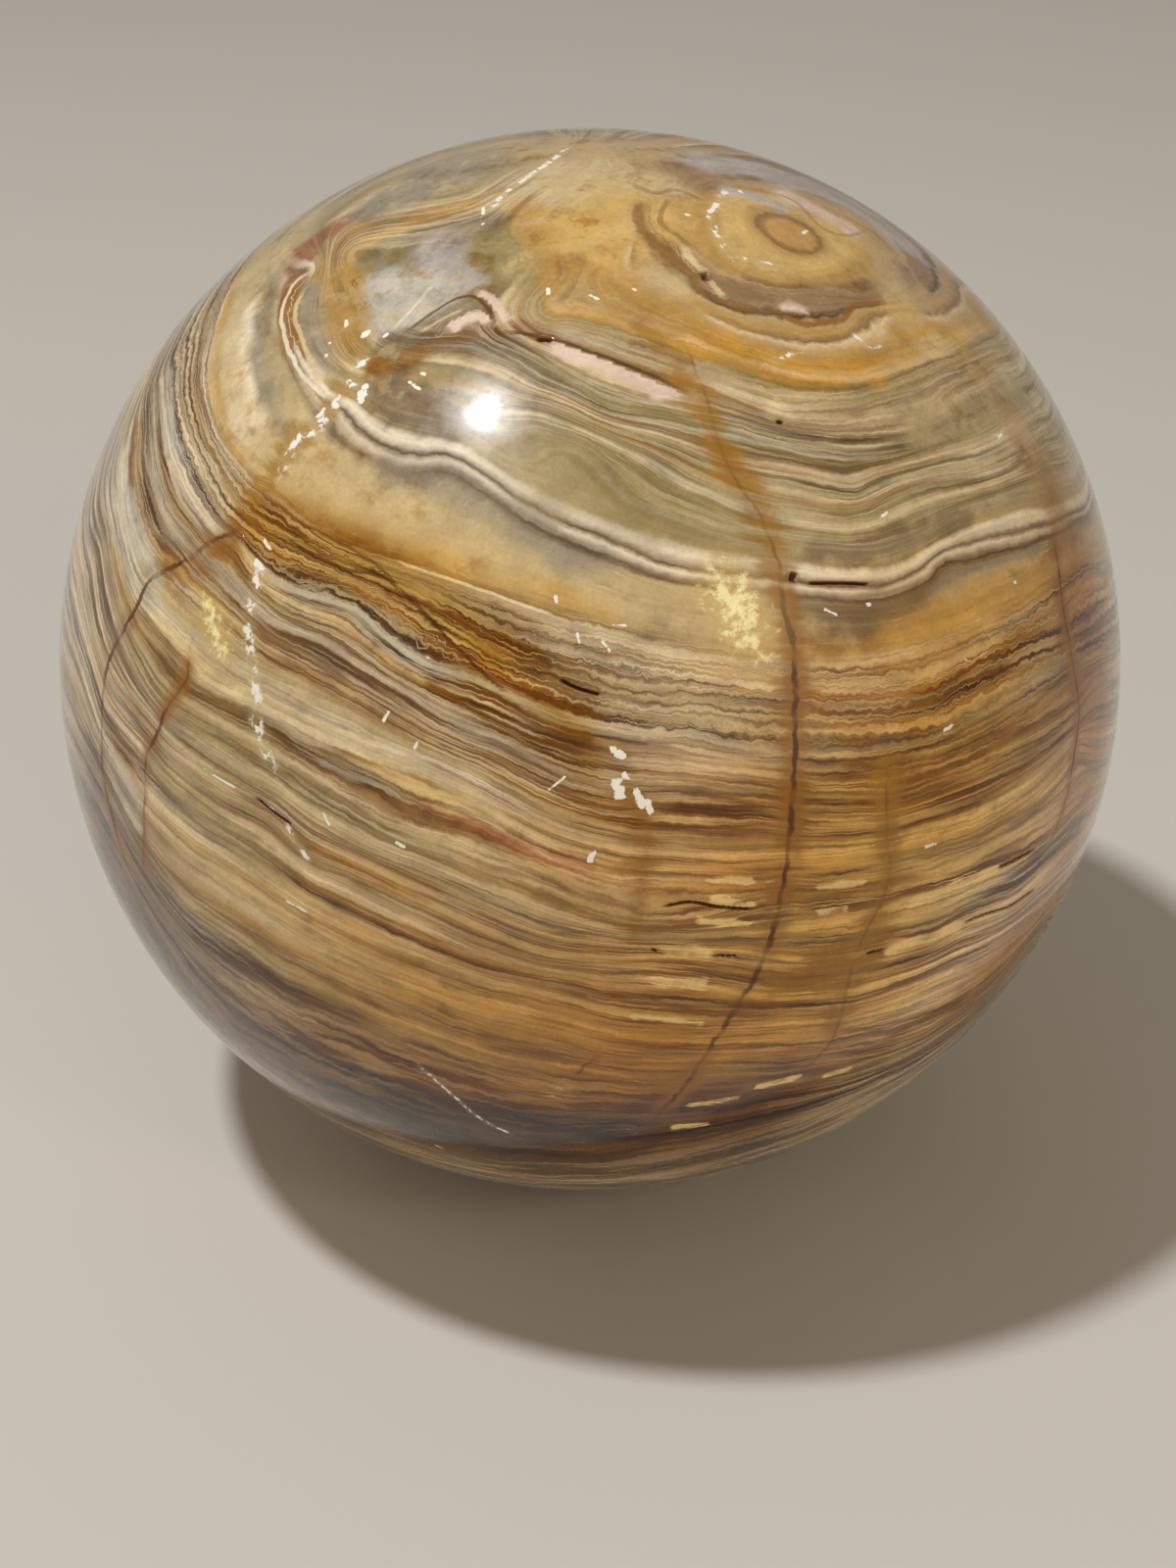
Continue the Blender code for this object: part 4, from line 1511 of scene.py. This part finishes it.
class OnyxStage(bpy.types.PropertyGroup):
    """Floor, lamps and sky that the ball is shown with."""

    floor_colour: bpy.props.FloatVectorProperty(
        name="Floor", description="Colour of the floor", subtype="COLOR", size=3, min=0, max=1,
        default=(0.66, 0.62, 0.56))
    floor_size: bpy.props.FloatProperty(
        name="Floor Size", description="Width of the floor", default=5.0, min=0.5, unit="LENGTH")
    key_power: bpy.props.FloatProperty(
        name="Key Power", description="Power of the main lamp in watts", default=4.6, min=0)
    warm_power: bpy.props.FloatProperty(
        name="Warm Power", description="Power of the warm lamp in watts", default=0.30, min=0)
    fill_power: bpy.props.FloatProperty(
        name="Fill Power", description="Power of the wide soft lamp in watts", default=17.0, min=0)
    sky: bpy.props.FloatProperty(
        name="Sky", description="Brightness of the light from all round", default=0.24, min=0)


class ONYX_OT_ball(bpy.types.Operator):
    """Makes the polished onyx ball with its beds, cracks, stains and pits."""

    bl_idname = "onyx_ball.ball"
    bl_label = "Onyx Ball"

    def execute(self, context):
        stone = context.scene.onyx_stone
        mesh = ball_blank(stone.fineness)
        mark_mesh(mesh)
        mesh = carved(mesh, stone_material(stone), stone)
        mesh.name = "banded_onyx_ball"
        ball = bpy.data.objects.new("banded_onyx_ball", mesh)
        context.scene.collection.objects.link(ball)
        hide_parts(STONE_NODE)
        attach(ball, "root")
        return {"FINISHED"}


class ONYX_OT_stage(bpy.types.Operator):
    """Makes the floor, the lamps, the sky and the camera."""

    bl_idname = "onyx_ball.stage"
    bl_label = "Stage"

    def execute(self, context):
        scene = context.scene
        stage = scene.onyx_stage
        lay_floor(stage.floor_colour, stage.floor_size)
        powers = (stage.key_power, stage.warm_power, stage.fill_power)
        for power, (name, settings) in zip(powers, LAMPS.items()):
            hang_lamp(name, power, *settings)
        scene.world = bpy.data.worlds.new("studio")
        scene.world.use_nodes = True
        sky = scene.world.node_tree.nodes["Background"].inputs
        sky["Color"].default_value = SKY_COLOUR
        sky["Strength"].default_value = stage.sky
        place_camera()
        scene.view_settings.view_transform = "Standard"
        return {"FINISHED"}


class ONYX_PT_sidebar(bpy.types.Panel):
    """Lists the ball and the stage in the 3D view's sidebar."""

    bl_idname = "ONYX_PT_sidebar"
    bl_label = "Onyx Ball"
    bl_space_type = "VIEW_3D"
    bl_region_type = "UI"
    bl_category = "Onyx Ball"

    def draw(self, context):
        for group, operator in (("onyx_stone", ONYX_OT_ball), ("onyx_stage", ONYX_OT_stage)):
            settings = getattr(context.scene, group)
            box = self.layout.box()
            for name in settings.__annotations__:
                box.prop(settings, name)
            box.operator(operator.bl_idname)
        box = self.layout.box()
        for name in OnyxTones.__annotations__:
            box.prop(context.scene.onyx_tones, name)


CLASSES = (OnyxTones, OnyxStone, OnyxStage, ONYX_OT_ball, ONYX_OT_stage, ONYX_PT_sidebar)
GROUPS = {"onyx_tones": OnyxTones, "onyx_stone": OnyxStone, "onyx_stage": OnyxStage}


def register():
    for made in CLASSES:
        bpy.utils.register_class(made)
    for name, group in GROUPS.items():
        setattr(bpy.types.Scene, name, bpy.props.PointerProperty(type=group))


def unregister():
    for name in GROUPS:
        delattr(bpy.types.Scene, name)
    for made in reversed(CLASSES):
        bpy.utils.unregister_class(made)


def main():
    register()
    bpy.ops.onyx_ball.ball()
    bpy.ops.onyx_ball.stage()


if __name__ == "__main__":
    main()
